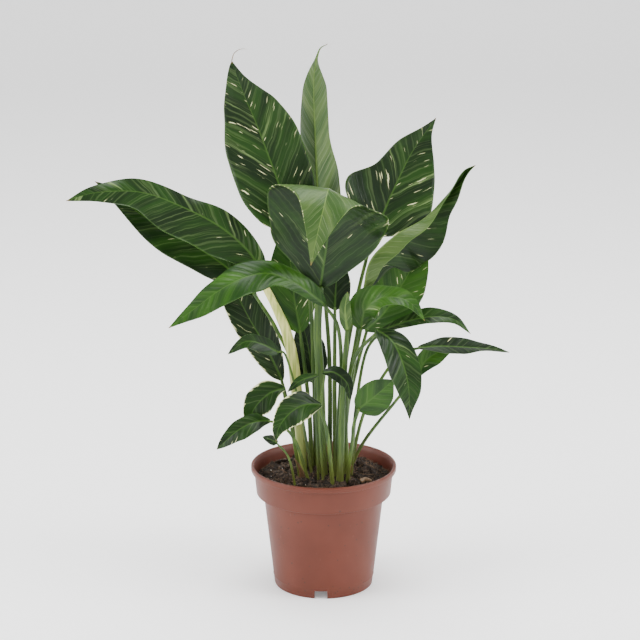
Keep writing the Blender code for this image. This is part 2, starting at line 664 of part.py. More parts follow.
def main():
    """Builds the pot, the peat and every leaf."""
    for obj in list(bpy.data.objects):
        bpy.data.objects.remove(obj)
    plant = bpy.data.collections.new("potted_peace_lily")
    cutters = bpy.data.collections.new("cutters")
    for collection in (plant, cutters):
        bpy.context.scene.collection.children.link(collection)

    build_pot(material("pot_plastic", (0.25, 0.085, 0.055), 0.45), plant, cutters)
    build_soil(material("peat", (0.016, 0.010, 0.007), 0.95), plant)
    leaf_green = material("leaf_green", (0.035, 0.12, 0.02), 0.4)
    stem_green = material("stem_green", (0.12, 0.26, 0.05), 0.45)
    for leaf in LEAVES:
        build_blade(leaf, leaf_green, plant)
        build_stem(leaf, stem_green, plant)


main()
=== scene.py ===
"""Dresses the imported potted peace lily: leaves, stems, peat, pot and a white studio.

Everything is in metres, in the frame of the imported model: the pot's axis is the Z axis, the pot
stands at height zero, and -Y is the plant's front.
"""

import logging
import math
from dataclasses import dataclass
from enum import Enum

import bmesh
import bpy
import numpy as np
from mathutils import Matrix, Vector


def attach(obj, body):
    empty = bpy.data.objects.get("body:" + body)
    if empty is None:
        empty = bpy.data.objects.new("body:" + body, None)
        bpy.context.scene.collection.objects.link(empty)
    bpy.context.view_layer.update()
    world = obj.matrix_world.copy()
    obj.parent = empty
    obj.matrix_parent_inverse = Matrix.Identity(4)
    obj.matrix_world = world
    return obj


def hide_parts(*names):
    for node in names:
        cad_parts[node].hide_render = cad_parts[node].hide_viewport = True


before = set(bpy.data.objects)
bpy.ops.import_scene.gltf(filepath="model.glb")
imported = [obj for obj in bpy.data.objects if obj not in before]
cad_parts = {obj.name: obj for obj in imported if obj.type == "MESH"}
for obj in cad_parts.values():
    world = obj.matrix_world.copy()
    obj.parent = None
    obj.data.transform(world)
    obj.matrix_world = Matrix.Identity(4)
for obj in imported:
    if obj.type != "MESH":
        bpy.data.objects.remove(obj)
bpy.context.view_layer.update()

log = logging.getLogger("peace_lily")
ROOT = "root"
WIDTH_STATIONS = (0.0, 0.1, 0.3, 0.5, 0.7, 0.9, 1.0)
VEIN_LEAN = 1.25
Rgb = tuple[float, float, float]
Point = tuple[float, float, float]


class LeafToneAndShade(Enum):
    """How fresh a leaf's green is, with painted light and shade in it: (dark green, fresh green)."""

    # Painted shade: darker greens for leaves that sit in shade behind or under others.
    SHADED = ((0.002, 0.008, 0.001), (0.005, 0.018, 0.002))
    MATURE = ((0.0025, 0.011, 0.001), (0.009, 0.034, 0.0025))
    # Fresh green, brightened as painted light shining through the blade.
    FRESH_AND_BACKLIT = ((0.006, 0.027, 0.002), (0.023, 0.073, 0.004))


# ---- small maths -----------------------------------------------------------
def unit(v: np.ndarray) -> np.ndarray:
    """The same vectors with length one."""
    return v / np.maximum(np.linalg.norm(v, axis=-1, keepdims=True), 1e-9)


def route(points: list[Point], count: int) -> tuple[np.ndarray, float]:
    """Evenly spaced places on a smooth curve through points.

    Args:
        points: the places the curve passes through.
        count: how many places to return.

    Returns:
        The places, one a row, and the curve's length.
    """
    p = np.asarray(points, float)
    p = np.vstack([2 * p[0] - p[1], p, 2 * p[-1] - p[-2]])
    fine = []
    for i in range(1, len(p) - 2):
        a, b, c, d = p[i - 1 : i + 3]
        for t in np.linspace(0, 1, 40, endpoint=False):
            bend = (2 * a - 5 * b + 4 * c - d) * t**2 + (3 * b - a - 3 * c + d) * t**3
            fine.append(b + 0.5 * ((c - a) * t + bend))
    fine = np.array(fine + [p[-2]])
    run = np.concatenate([[0], np.cumsum(np.linalg.norm(np.diff(fine, axis=0), axis=1))])
    at = np.linspace(0, run[-1], count)
    return np.stack([np.interp(at, run, fine[:, k]) for k in range(3)], 1), float(run[-1])


def half_widths(widths: tuple[float, ...], u: np.ndarray, foot: float) -> np.ndarray:
    """The half width along a blade, on a curve through the given widths that doesn't overshoot.

    Args:
        widths: half widths at 10, 30, 50, 70 and 90 % of the blade.
        u: places along the blade, from 0 to 1.
        foot: the half width at the foot.

    Returns:
        The half width at each place.
    """
    x = np.array(WIDTH_STATIONS)
    y = np.array([foot, *widths, 0.0])
    step = np.diff(x)
    slope = np.diff(y) / step
    m = np.zeros(len(x))
    m[0], m[-1] = 1.6 * slope[0], slope[-1]
    for i in range(1, len(x) - 1):
        if slope[i - 1] * slope[i] > 0:
            near, far = 2 * step[i] + step[i - 1], step[i] + 2 * step[i - 1]
            m[i] = (near + far) / (near / slope[i - 1] + far / slope[i])
    k = np.clip(np.searchsorted(x, u, side="right") - 1, 0, len(step) - 1)
    t = (u - x[k]) / step[k]
    rise = (3 * t**2 - 2 * t**3) * (y[k + 1] - y[k])
    ease = (t**3 - 2 * t**2 + t) * step[k] * m[k] + (t**3 - t**2) * step[k] * m[k + 1]
    return np.maximum(y[k] + rise + ease, 0.00012)


def new_piece(name: str, points: np.ndarray, faces: list[tuple[int, ...]]) -> bpy.types.Object:
    """A smooth-shaded object at the origin, with its faces as they are given.

    Args:
        name: the piece's name.
        points: its points, one a row.
        faces: its faces, as point numbers.

    Returns:
        The new object, linked to the scene.
    """
    mesh = bpy.data.meshes.new(name)
    mesh.from_pydata([tuple(map(float, p)) for p in points], [], faces)
    mesh.shade_smooth()
    piece = bpy.data.objects.new(name, mesh)
    bpy.context.scene.collection.objects.link(piece)
    return piece


def outward(piece: bpy.types.Object) -> bpy.types.Object:
    """Turns every face of a closed piece outwards, and returns the piece."""
    shell = bmesh.new()
    shell.from_mesh(piece.data)
    bmesh.ops.recalc_face_normals(shell, faces=shell.faces)
    shell.to_mesh(piece.data)
    shell.free()
    return piece


def tube(
    name: str, points: tuple[Point, ...], radii: tuple[float, float], flat: float = 1.0
) -> bpy.types.Object:
    """A closed round thread on a smooth curve.

    Args:
        name: the piece's name.
        points: the places its middle passes through.
        radii: its radius at the start and the end.
        flat: how deep it is for its width.

    Returns:
        The thread.
    """
    rows, count = 24, 8
    centre, _ = route(list(points), rows)
    tangent = unit(np.gradient(centre, axis=0))
    side = unit(np.cross(tangent, (0.0, -1.0, 0.2)))
    front = np.cross(side, tangent)
    ring = 2 * np.pi * np.arange(count) / count
    radius = np.linspace(*radii, rows)
    shape = np.cos(ring)[None, :, None] * side[:, None] + flat * np.sin(ring)[None, :, None] * front[:, None]
    place = centre[:, None] + radius[:, None, None] * shape
    faces = []
    for i in range(rows - 1):
        for k in range(count):
            n = (k + 1) % count
            faces.append((i * count + k, i * count + n, (i + 1) * count + n, (i + 1) * count + k))
    faces += [tuple(range(count - 1, -1, -1)), tuple((rows - 1) * count + k for k in range(count))]
    return outward(new_piece(name, place.reshape(-1, 3), faces))


def settle(piece: bpy.types.Object, slot: str, *nodes: str) -> None:
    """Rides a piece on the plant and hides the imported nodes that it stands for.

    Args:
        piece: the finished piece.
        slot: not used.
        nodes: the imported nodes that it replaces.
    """
    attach(piece, ROOT)
    if nodes:
        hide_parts(*nodes)
    log.info("%s: %d faces", piece.name, len(piece.data.polygons))


def bake_modifiers(piece: bpy.types.Object) -> None:
    """Turns a piece's live modifiers into its plain mesh, and removes them."""
    graph = bpy.context.evaluated_depsgraph_get()
    mesh = bpy.data.meshes.new_from_object(piece.evaluated_get(graph), depsgraph=graph)
    piece.modifiers.clear()
    piece.data = mesh


# ---- node helpers ----------------------------------------------------------
class Nodes:
    """A short hand for laying out one node tree."""

    def __init__(self, tree: bpy.types.NodeTree) -> None:
        """Keeps the tree that nodes are added to."""
        self.tree = tree

    def add(self, kind: str, inputs: dict | None = None, **settings: object) -> bpy.types.Node:
        """Adds a node.

        Args:
            kind: the node's type name.
            inputs: socket name or number to a value, or to an output socket to link from.
            settings: the node's own properties.

        Returns:
            The new node.
        """
        node = self.tree.nodes.new(kind)
        for key, value in settings.items():
            setattr(node, key, value)
        for key, value in (inputs or {}).items():
            if isinstance(value, bpy.types.NodeSocket):
                self.tree.links.new(value, node.inputs[key])
            else:
                node.inputs[key].default_value = value
        return node

    def math(self, operation: str, a: object, b: object = 0.0, c: object = 0.0) -> bpy.types.NodeSocket:
        """A Math node's output; a, b and c are numbers or sockets."""
        return self.add("ShaderNodeMath", {0: a, 1: b, 2: c}, operation=operation).outputs[0]

    def ramp(self, value: object, low: float, high: float, smooth: bool = True) -> bpy.types.NodeSocket:
        """Maps value from low..high to 0..1, held at the ends."""
        kind = "SMOOTHSTEP" if smooth else "LINEAR"
        settings = {"Value": value, "From Min": low, "From Max": high}
        return self.add("ShaderNodeMapRange", settings, interpolation_type=kind).outputs[0]

    def mix(self, factor: object, a: object, b: object, blend: str = "MIX") -> bpy.types.NodeSocket:
        """A colour mix's output."""
        node = self.tree.nodes.new("ShaderNodeMix")
        node.data_type = "RGBA"
        node.blend_type = blend
        for index, value in ((0, factor), (6, a), (7, b)):
            if isinstance(value, bpy.types.NodeSocket):
                self.tree.links.new(value, node.inputs[index])
            elif index and len(value) == 3:
                node.inputs[index].default_value = (*value, 1.0)
            else:
                node.inputs[index].default_value = value
        return node.outputs[2]

    def noise(
        self, vector: object, scale: float, detail: float = 2.0, rough: float = 0.5
    ) -> bpy.types.NodeSocket:
        """A noise texture's value."""
        settings = {"Vector": vector, "Scale": scale, "Detail": detail, "Roughness": rough}
        return self.add("ShaderNodeTexNoise", settings).outputs["Fac"]

    def group(self, tree: bpy.types.NodeTree, inputs: dict) -> bpy.types.Node:
        """Places a node group with its values."""
        node = self.tree.nodes.new("ShaderNodeGroup")
        node.node_tree = tree
        for key, value in inputs.items():
            if isinstance(value, bpy.types.NodeSocket):
                self.tree.links.new(value, node.inputs[key])
            else:
                node.inputs[key].default_value = value
        return node


def new_group(
    name: str, inputs: dict[str, object], outputs: tuple[str, ...]
) -> tuple[bpy.types.NodeTree, Nodes, bpy.types.Node, bpy.types.Node]:
    """A shader node group with named sockets.

    Args:
        name: the group's name.
        inputs: socket name to default; a tuple is a colour and a number a float.
        outputs: socket names; those that end in Color are colours.

    Returns:
        The tree, its layout helper, and its input and output nodes.
    """
    tree = bpy.data.node_groups.new(name, "ShaderNodeTree")
    for key, value in inputs.items():
        kind = "NodeSocketColor" if isinstance(value, tuple) else "NodeSocketFloat"
        socket = tree.interface.new_socket(key, in_out="INPUT", socket_type=kind)
        socket.default_value = (*value, 1.0) if isinstance(value, tuple) else value
    for key in outputs:
        kind = "NodeSocketColor" if key.endswith("Color") else "NodeSocketFloat"
        tree.interface.new_socket(key, in_out="OUTPUT", socket_type=kind)
    layout = Nodes(tree)
    return tree, layout, layout.add("NodeGroupInput"), layout.add("NodeGroupOutput")


def leaf_surface_group() -> bpy.types.NodeTree:
    """The colour, roughness and relief of a leaf surface that is veined, flecked and streaked, with painted
    light along its edge.

    Returns:
        The group. It reads the blade's own maps: "run" holds metres along and across the blade,
        "span" holds the fraction along it and the fraction from midrib to edge.
    """
    inputs = {
        "Dark": (0.01, 0.04, 0.01), "Fresh": (0.03, 0.1, 0.02), "Pale": (0.2, 0.3, 0.14),
        "Cream": (0.75, 0.78, 0.42), "Rib And Lit Edge": (0.12, 0.25, 0.06), "Seed": 0.0, "Streaks": 0.5,
        "Flecks": 0.5, "Margin": 0.0, "Veins": 0.5,
    }
    tree, n, given, out = new_group("leaf_surface", inputs, ("Color", "Roughness", "Height"))
    g = given.outputs
    run = n.add("ShaderNodeSeparateXYZ", {0: n.add("ShaderNodeUVMap", uv_map="run").outputs[0]}).outputs
    span = n.add("ShaderNodeSeparateXYZ", {0: n.add("ShaderNodeUVMap", uv_map="span").outputs[0]}).outputs
    across = n.math("ABSOLUTE", run[1])
    side = n.math("SIGN", run[1])
    wander = n.add("ShaderNodeCombineXYZ", {0: run[0], 1: run[1], 2: g["Seed"]}).outputs[0]
    drift = n.math("MULTIPLY", n.math("SUBTRACT", n.noise(wander, 38.0, 3.0), 0.5), 0.011)
    reach = n.math("MULTIPLY", across, VEIN_LEAN)
    phase = n.math("ADD", n.math("SUBTRACT", run[0], reach), drift)
    seed = n.math("ADD", n.math("MULTIPLY", side, 3.7), g["Seed"])

    def along_veins(fine: float, long: float, scale: float, detail: float = 2.0) -> bpy.types.NodeSocket:
        """Noise stretched along the side veins."""
        x, y = n.math("MULTIPLY", phase, fine), n.math("MULTIPLY", across, long)
        vector = n.add("ShaderNodeCombineXYZ", {0: x, 1: y, 2: seed}).outputs[0]
        return n.noise(vector, scale, detail)

    cloud = along_veins(55.0, 14.0, 1.0, 3.0)
    color = n.mix(n.ramp(cloud, 0.36, 0.66), g["Dark"], g["Fresh"])
    broad = along_veins(70.0, 9.0, 1.0, 3.0)
    level = n.math("SUBTRACT", 0.80, n.math("MULTIPLY", g["Streaks"], 0.24))
    broad_mask = n.math("SUBTRACT", broad, level)
    broad_mask = n.ramp(broad_mask, 0.0, 0.05)
    fine = along_veins(330.0, 20.0, 1.0, 3.0)
    soft_mask = n.math("MULTIPLY", n.ramp(fine, 0.52, 0.66), n.math("MULTIPLY", g["Streaks"], 0.24))
    color = n.mix(soft_mask, color, g["Pale"])
    grain = along_veins(700.0, 60.0, 1.0, 2.0)
    streaky = n.math("MULTIPLY", broad_mask, n.ramp(grain, 0.30, 0.62))
    color = n.mix(n.math("MULTIPLY", streaky, 0.85), color, g["Pale"])
    fleck = along_veins(520.0, 85.0, 1.0, 1.0)
    fleck_level = n.math("SUBTRACT", 0.82, n.math("MULTIPLY", g["Flecks"], 0.14))
    fleck_mask = n.ramp(n.math("SUBTRACT", fleck, fleck_level), 0.0, 0.05)
    color = n.mix(n.math("MULTIPLY", fleck_mask, 0.9), color, g["Cream"])

    ladder = n.math("FRACT", n.math("MULTIPLY", phase, 150.0))
    ladder = n.math("ABSOLUTE", n.math("SUBTRACT", ladder, 0.5))
    vein_line = n.math("SUBTRACT", 1.0, n.ramp(ladder, 0.0, 0.10))
    inner = n.math("SUBTRACT", 1.0, n.ramp(span[1], 0.55, 1.0))
    broken = n.math("MULTIPLY", vein_line, n.ramp(broad, 0.35, 0.62))
    vein_mask = n.math("MULTIPLY", n.math("MULTIPLY", broken, inner), n.math("MULTIPLY", g["Veins"], 0.34))
    color = n.mix(vein_mask, color, g["Pale"])

    # Painted light: a yellow-green band in the rib colour along the edge, standing in for light shining
    # through the thin margin.
    edge = n.ramp(span[1], 0.962, 0.99)
    color = n.mix(n.math("MULTIPLY", edge, 0.65), color, g["Rib And Lit Edge"])
    frayed = n.math("ADD", span[1], n.math("MULTIPLY", n.math("SUBTRACT", fine, 0.5), 0.55))
    start = n.math("SUBTRACT", 1.12, n.math("MULTIPLY", g["Margin"], 0.42))
    cream_mask = n.ramp(n.math("SUBTRACT", frayed, start), 0.0, 0.10)
    color = n.mix(cream_mask, color, g["Cream"])

    rib_width = n.math("MULTIPLY", n.math("SUBTRACT", 1.08, span[0]), 0.0011)
    rib = n.math("SUBTRACT", 1.0, n.ramp(n.math("DIVIDE", across, rib_width), 0.55, 1.1))
    color = n.mix(n.math("MULTIPLY", rib, 0.6), color, g["Rib And Lit Edge"])
    tip = n.ramp(span[0], 0.975, 0.998)
    color = n.mix(n.math("MULTIPLY", tip, 0.8), color, (0.16, 0.09, 0.03))
    n.tree.links.new(color, out.inputs["Color"])
    rough = n.math("ADD", 0.27, n.math("MULTIPLY", n.noise(wander, 900.0, 3.0), 0.14))
    n.tree.links.new(rough, out.inputs["Roughness"])
    relief = n.math("ADD", n.math("MULTIPLY", vein_line, -0.5), n.math("MULTIPLY", grain, 0.6))
    n.tree.links.new(relief, out.inputs["Height"])
    return tree


def speckle_group() -> bpy.types.NodeTree:
    """Fine dirt: a mask of scattered specks that thickens towards a height.

    Returns:
        The group, read in the piece's own coordinates.
    """
    inputs = {"Scale": 400.0, "Amount": 0.5, "Settle Height": 0.0, "Settle Depth": 0.02}
    tree, n, given, out = new_group("dirt_specks", inputs, ("Mask",))
    g = given.outputs
    place = n.add("ShaderNodeTexCoord").outputs["Object"]
    height = n.add("ShaderNodeSeparateXYZ", {0: place}).outputs[2]
    cell = n.add("ShaderNodeTexVoronoi", {"Vector": place, "Scale": g["Scale"]})
    chosen = n.add("ShaderNodeSeparateColor", {0: cell.outputs["Color"]}).outputs[0]
    away = n.math("DIVIDE", n.math("SUBTRACT", height, g["Settle Height"]), g["Settle Depth"])
    near = n.math("SUBTRACT", 1.0, n.ramp(away, 0.0, 1.0))
    crowding = n.math("ADD", 0.016, n.math("MULTIPLY", near, 0.34))
    limit = n.math("SUBTRACT", 1.0, n.math("MULTIPLY", g["Amount"], crowding))
    picked = n.math("GREATER_THAN", chosen, limit)
    dot = n.math("SUBTRACT", 1.0, n.ramp(cell.outputs["Distance"], 0.26, 0.42))
    n.tree.links.new(n.math("MULTIPLY", picked, dot), out.inputs["Mask"])
    return tree


@dataclass(frozen=True)
class Finish:
    """A Principled finish that each material of the plant starts from."""

    name: str
    roughness: float = 0.5
    specular: float = 0.5

    def start(self) -> tuple[bpy.types.Material, Nodes, bpy.types.Node]:
        """Makes the material.

        Returns:
            The material, its layout helper and its Principled node.
        """
        material = bpy.data.materials.new(self.name)
        material.use_nodes = True
        bsdf = material.node_tree.nodes["Principled BSDF"]
        bsdf.inputs["Roughness"].default_value = self.roughness
        bsdf.inputs["Specular IOR Level"].default_value = self.specular
        return material, Nodes(material.node_tree), bsdf


@dataclass(frozen=True)
class LeafFinish(Finish):
    """One side of a leaf."""

    dark: Rgb = (0.01, 0.04, 0.01)
    fresh: Rgb = (0.03, 0.1, 0.02)
    pale: Rgb = (0.13, 0.20, 0.065)
    cream: Rgb = (0.78, 0.80, 0.42)
    # The midrib's colour, also used for the painted light along the edge.
    rib: Rgb = (0.040, 0.095, 0.012)
    seed: float = 0.0
    streaks: float = 0.5
    flecks: float = 0.5
    margin: float = 0.0
    veins: float = 0.5
    relief: float = 0.3

    def make(self, surface: bpy.types.NodeTree) -> bpy.types.Material:
        """Makes the material.

        Args:
            surface: the shared leaf surface group.

        Returns:
            The finished material.
        """
        material, n, bsdf = self.start()
        values = {
            "Dark": (*self.dark, 1.0), "Fresh": (*self.fresh, 1.0), "Pale": (*self.pale, 1.0),
            "Cream": (*self.cream, 1.0), "Rib And Lit Edge": (*self.rib, 1.0), "Seed": self.seed,
            "Streaks": self.streaks, "Flecks": self.flecks, "Margin": self.margin, "Veins": self.veins,
        }
        group = n.group(surface, values)
        height = group.outputs["Height"]
        bump = n.add("ShaderNodeBump", {"Strength": self.relief, "Distance": 0.0004, "Height": height})
        links = n.tree.links
        links.new(group.outputs["Color"], bsdf.inputs["Base Color"])
        links.new(group.outputs["Roughness"], bsdf.inputs["Roughness"])
        links.new(bump.outputs[0], bsdf.inputs["Normal"])
        return material


@dataclass(frozen=True)
class StemFinish(Finish):
    """A fleshy stem: streaked green, yellower towards the peat."""

    green: Rgb = (0.017, 0.048, 0.004)
    light: Rgb = (0.058, 0.112, 0.012)
    foot: Rgb = (0.095, 0.100, 0.024)
    foot_top: float = 0.135

    def make(self) -> bpy.types.Material:
        """Makes the material."""
        material, n, bsdf = self.start()
        place = n.add("ShaderNodeTexCoord").outputs["Object"]
        stretched = n.add("ShaderNodeMapping", {"Vector": place, "Scale": (420.0, 420.0, 22.0)}).outputs[0]
        streak = n.noise(stretched, 1.0, 3.0)
        color = n.mix(n.ramp(streak, 0.35, 0.68), self.green, self.light)
        height = n.add("ShaderNodeSeparateXYZ", {0: place}).outputs[2]
        low = n.math("SUBTRACT", 1.0, n.ramp(height, 0.094, self.foot_top))
        color = n.mix(n.math("MULTIPLY", low, 0.75), color, self.foot)
        n.tree.links.new(color, bsdf.inputs["Base Color"])
        bump = n.add("ShaderNodeBump", {"Strength": 0.25, "Distance": 0.0003, "Height": streak})
        n.tree.links.new(bump.outputs[0], bsdf.inputs["Normal"])
        return material


@dataclass(frozen=True)
class PotFinish(Finish):
    """Red-brown moulded plastic with a soft shine and a little dirt."""

    colour: Rgb = (0.085, 0.018, 0.008)
    faded: Rgb = (0.105, 0.024, 0.012)
    dirt: Rgb = (0.035, 0.018, 0.012)

    def make(self, specks: bpy.types.NodeTree) -> bpy.types.Material:
        """Makes the material.

        Args:
            specks: the shared dirt group.

        Returns:
            The finished material.
        """
        material, n, bsdf = self.start()
        place = n.add("ShaderNodeTexCoord").outputs["Object"]
        cloud = n.noise(place, 26.0, 4.0)
        color = n.mix(n.ramp(cloud, 0.3, 0.75), self.colour, self.faded)
        drawn = n.add("ShaderNodeMapping", {"Vector": place, "Scale": (900.0, 900.0, 35.0)}).outputs[0]
        scuff = n.ramp(n.noise(drawn, 1.0, 2.0), 0.70, 0.80)
        color = n.mix(n.math("MULTIPLY", scuff, 0.18), color, (0.42, 0.22, 0.17))
        low = n.group(specks, {"Scale": 520.0, "Amount": 0.55, "Settle Height": 0.0, "Settle Depth": 0.018})
        rim = n.group(specks, {"Scale": 380.0, "Amount": 0.06, "Settle Height": 0.07, "Settle Depth": 0.03})
        mask = n.math("MAXIMUM", low.outputs[0], rim.outputs[0])
        color = n.mix(n.math("MULTIPLY", mask, 0.75), color, self.dirt)
        n.tree.links.new(color, bsdf.inputs["Base Color"])
        rough = n.math("ADD", 0.40, n.math("MULTIPLY", n.noise(place, 70.0, 3.0), 0.14))
        n.tree.links.new(rough, bsdf.inputs["Roughness"])
        grain = n.noise(place, 2400.0, 2.0)
        bump = n.add("ShaderNodeBump", {"Strength": 0.06, "Distance": 0.0003, "Height": grain})
        n.tree.links.new(bump.outputs[0], bsdf.inputs["Normal"])
        return material


@dataclass(frozen=True)
class GroundFinish(Finish):
    """Anything that lies in the peat: two colours broken up by a grain."""

    dark: Rgb = (0.010, 0.007, 0.005)
    light: Rgb = (0.040, 0.026, 0.016)
    grain: float = 500.0
    relief: float = 0.8

    def make(self) -> bpy.types.Material:
        """Makes the material."""
        material, n, bsdf = self.start()
        place = n.add("ShaderNodeTexCoord").outputs["Object"]
        grain = n.noise(place, self.grain, 6.0, 0.65)
        color = n.mix(n.ramp(grain, 0.35, 0.72), self.dark, self.light)
        n.tree.links.new(color, bsdf.inputs["Base Color"])
        bump = n.add("ShaderNodeBump", {"Strength": self.relief, "Distance": 0.0006, "Height": grain})
        n.tree.links.new(bump.outputs[0], bsdf.inputs["Normal"])
        return material


# ---- leaves ----------------------------------------------------------------
@dataclass
class Leaf:
    """One leaf: where it grows, how wide and folded it is, and how it is marked.

    Routes are points (x, y, z). Widths run from the midrib to the edge at 10, 30, 50, 70 and 90 %
    of the blade. Fold and curl lift each half towards the upper side, in degrees, left and right.
    The stem's route ends at the midrib's first point.
    """

    name: str
    midrib: tuple
    left: tuple
    right: tuple
    face: tuple
    stem: tuple
    fold: tuple = (8, 8)
    curl: tuple = (0, 0)
    radius: tuple = (0.0022, 0.0014)
    # The blade's greens, with painted shade or painted light shining through it.
    tone_and_shade: LeafToneAndShade = LeafToneAndShade.MATURE
    streaks: float = 0.5
    flecks: float = 0.5
    margin: float = 0.0
    wave: float = 0.0010
    wing: float = 1.0
    tendril: tuple = ()
    seed: float = 0.0
    foot: float = 0.0013
    half_columns: int = 12
    thickness: float = 0.00045
    stem_sides: int = 14
    rib_pitch: float = 0.0067
    rib_height: float = 0.00032
    keel_width: float = 0.0011
    keel_depth: float = 0.00085
    groove_depth: float = 0.00028

    def surface(self) -> tuple[np.ndarray, np.ndarray, np.ndarray, np.ndarray]:
        """Lays the blade's middle surface.

        Returns:
            The points (row, column, xyz), their upper-side normals, metres along and across, and
            the fractions along and from midrib to edge.
        """
        _, length = route(self.midrib, 2)
        rows = int(max(28, min(110, length / 0.0016)))
        u = np.linspace(0, 1, rows)
        centre, _ = route(self.midrib, rows)
        tangent = unit(np.gradient(centre, axis=0))
        face = unit(np.array(self.face, float))
        spots = np.linspace(0, 1, len(face))
        normal = np.stack([np.interp(u, spots, face[:, k]) for k in range(3)], 1)
        normal = unit(normal - np.sum(normal * tangent, 1, keepdims=True) * tangent)
        rightward = np.cross(tangent, normal)
        count = self.half_columns
        halves, runs, spans = [], [], []
        for side in (0, 1):
            sign = (-1, 1)[side]
            widths = half_widths((self.left, self.right)[side], u, self.foot)[:, None]
            place, columns, run_columns, span_columns = centre, [], [], []
            for j in range(count):
                x = (j + 0.5) / count
                lift = np.radians(self.fold[side] + self.curl[side] * x)
                place = place + widths * (np.cos(lift) * sign * rightward + np.sin(lift) * normal) / count
                edge = (j + 1) / count
                away = widths[:, 0] * edge
                ripple = self.ripple(u * length, away, edge, widths[:, 0], side)
                columns.append(place + ripple[:, None] * normal)
                run_columns.append(np.stack([u * length, sign * away], 1))
                span_columns.append(np.stack([u, np.full(rows, edge)], 1))
            halves.append(columns)
            runs.append(run_columns)
            spans.append(span_columns)
        middle_run = np.stack([u * length, np.zeros(rows)], 1)
        middle_span = np.stack([u, np.zeros(rows)], 1)
        grid = np.stack(halves[0][::-1] + [centre] + halves[1], 1)
        run = np.stack(runs[0][::-1] + [middle_run] + runs[1], 1)
        span = np.stack(spans[0][::-1] + [middle_span] + spans[1], 1)
        up = unit(np.cross(np.gradient(grid, axis=1), np.gradient(grid, axis=0)))
        flip = np.sign(np.sum(up * normal[:, None, :], axis=-1, keepdims=True))
        middle_flip = flip[:, count : count + 1, :]
        return grid, up * middle_flip, run, span

    def ripple(
        self, along: np.ndarray, away: np.ndarray, edge: float, width: np.ndarray, side: int
    ) -> np.ndarray:
        """Height of the soft ribs between side veins and of the waves at the edge.

        Args:
            along: metres along the blade, one a row.
            away: metres from the midrib.
            edge: the fraction from midrib to edge.
            width: the half width.
            side: 0 on the left and 1 on the right.

        Returns:
            How far the surface stands towards the upper side, one a row.
        """
        room = np.minimum(width / 0.012, 1.0)
        phase = along - VEIN_LEAN * away
        wave = np.cos(2 * math.pi * phase / self.rib_pitch)
        ribs = self.rib_height * wave * math.sin(math.pi * min(edge, 0.92))
        sway = np.sin(along / 0.0095 + 2.1 * side + self.seed)
        sway = sway + 0.6 * np.sin(along / 0.0052 + self.seed * 1.7)
        return room * (ribs + self.wave * sway * edge**2.5)

    def build_blade(self) -> bpy.types.Object:
        """Builds the blade: an upper and a lower skin with a keel under the midrib.

        Returns:
            The blade, with its own maps and two material slots, upper side first.
        """
        grid, up, run, span = self.surface()
        rows, columns, _ = grid.shape
        away = np.abs(run[..., 1])
        along = span[..., 0]
        keel = np.exp(-((away / self.keel_width) ** 2)) * (1.05 - along)
        over = grid + up * (self.thickness / 2 - self.groove_depth * keel)[..., None]
        under = grid - up * (self.thickness / 2 + self.keel_depth * keel)[..., None]
        points = np.concatenate([over.reshape(-1, 3), under.reshape(-1, 3)])
        size = rows * columns
        faces, sides = [], []
        for i in range(rows - 1):
            for j in range(columns - 1):
                a, b = i * columns + j, i * columns + j + 1
                c, d = b + columns, a + columns
                faces.append((a, b, c, d))
                faces.append((size + d, size + c, size + b, size + a))
                sides += [0, 1]
        rim = [i * columns for i in range(rows)]
        rim += [(rows - 1) * columns + j for j in range(1, columns)]
        rim += [i * columns + columns - 1 for i in range(rows - 2, -1, -1)]
        rim += list(range(columns - 2, 0, -1))
        for a, b in zip(rim, rim[1:] + rim[:1]):
            faces.append((a, size + a, size + b, b))
            sides.append(0)
        blade = new_piece(self.name + "_blade_skin", points, faces)
        mesh = blade.data
        mesh.polygons.foreach_set("material_index", sides)
        both_runs = np.concatenate([run.reshape(-1, 2)] * 2)
        both_spans = np.concatenate([span.reshape(-1, 2)] * 2)
        corner = np.zeros(len(mesh.loops), int)
        mesh.loops.foreach_get("vertex_index", corner)
        for key, values in (("run", both_runs), ("span", both_spans)):
            mesh.uv_layers.new(name=key).uv.foreach_set("vector", values[corner].ravel())
        shell = bmesh.new()
        shell.from_mesh(mesh)
        if shell.calc_volume(signed=True) < 0:
            bmesh.ops.reverse_faces(shell, faces=shell.faces)
        shell.to_mesh(mesh)
        shell.free()
        return blade

    def build_stem(self, peat_height: float) -> bpy.types.Object:
        """Builds the stem: a tapered, slightly flattened stalk that enters the peat.

        Args:
            peat_height: how high the stalk's foot starts, inside the peat.

        Returns:
            The stalk, closed at both ends.
        """
        points = [list(p) for p in (*self.stem, self.midrib[0])]
        points[0][2] = peat_height
        points[-1] = list(np.array(points[-1]) + 0.0022 * unit(np.subtract(self.midrib[1], self.midrib[0])))
        rows = 60
        centre, _ = route(points, rows)
        u = np.linspace(0, 1, rows)
        tangent = unit(np.gradient(centre, axis=0))
        forward = np.array([0.0, -1.0, 0.12])
        side = unit(np.cross(tangent, forward))
        front = np.cross(side, tangent)
        radius = np.interp(u, (0, 0.12, 0.9, 1.0), (1.12, 1.0, 1.0, 0.85))
        radius = radius * (self.radius[0] + (self.radius[1] - self.radius[0]) * u)
        spread = 1 + (self.wing - 1) * np.sin(np.pi * np.clip(u * 1.15, 0, 1)) ** 0.7
        ring = 2 * np.pi * np.arange(self.stem_sides) / self.stem_sides
        groove = 1 - 0.22 * np.exp(-(((ring - 1.5 * np.pi + np.pi) % (2 * np.pi) - np.pi) / 0.5) ** 2)
        shape = (np.cos(ring)[None, :, None] * side[:, None, :] * spread[:, None, None]
                 - np.sin(ring)[None, :, None] * front[:, None, :] * 0.86)
        place = centre[:, None, :] + radius[:, None, None] * groove[None, :, None] * shape
        count = self.stem_sides
        faces = []
        for i in range(rows - 1):
            for k in range(count):
                n = (k + 1) % count
                low, high = i * count, (i + 1) * count
                faces.append((low + k, low + n, high + n, high + k))
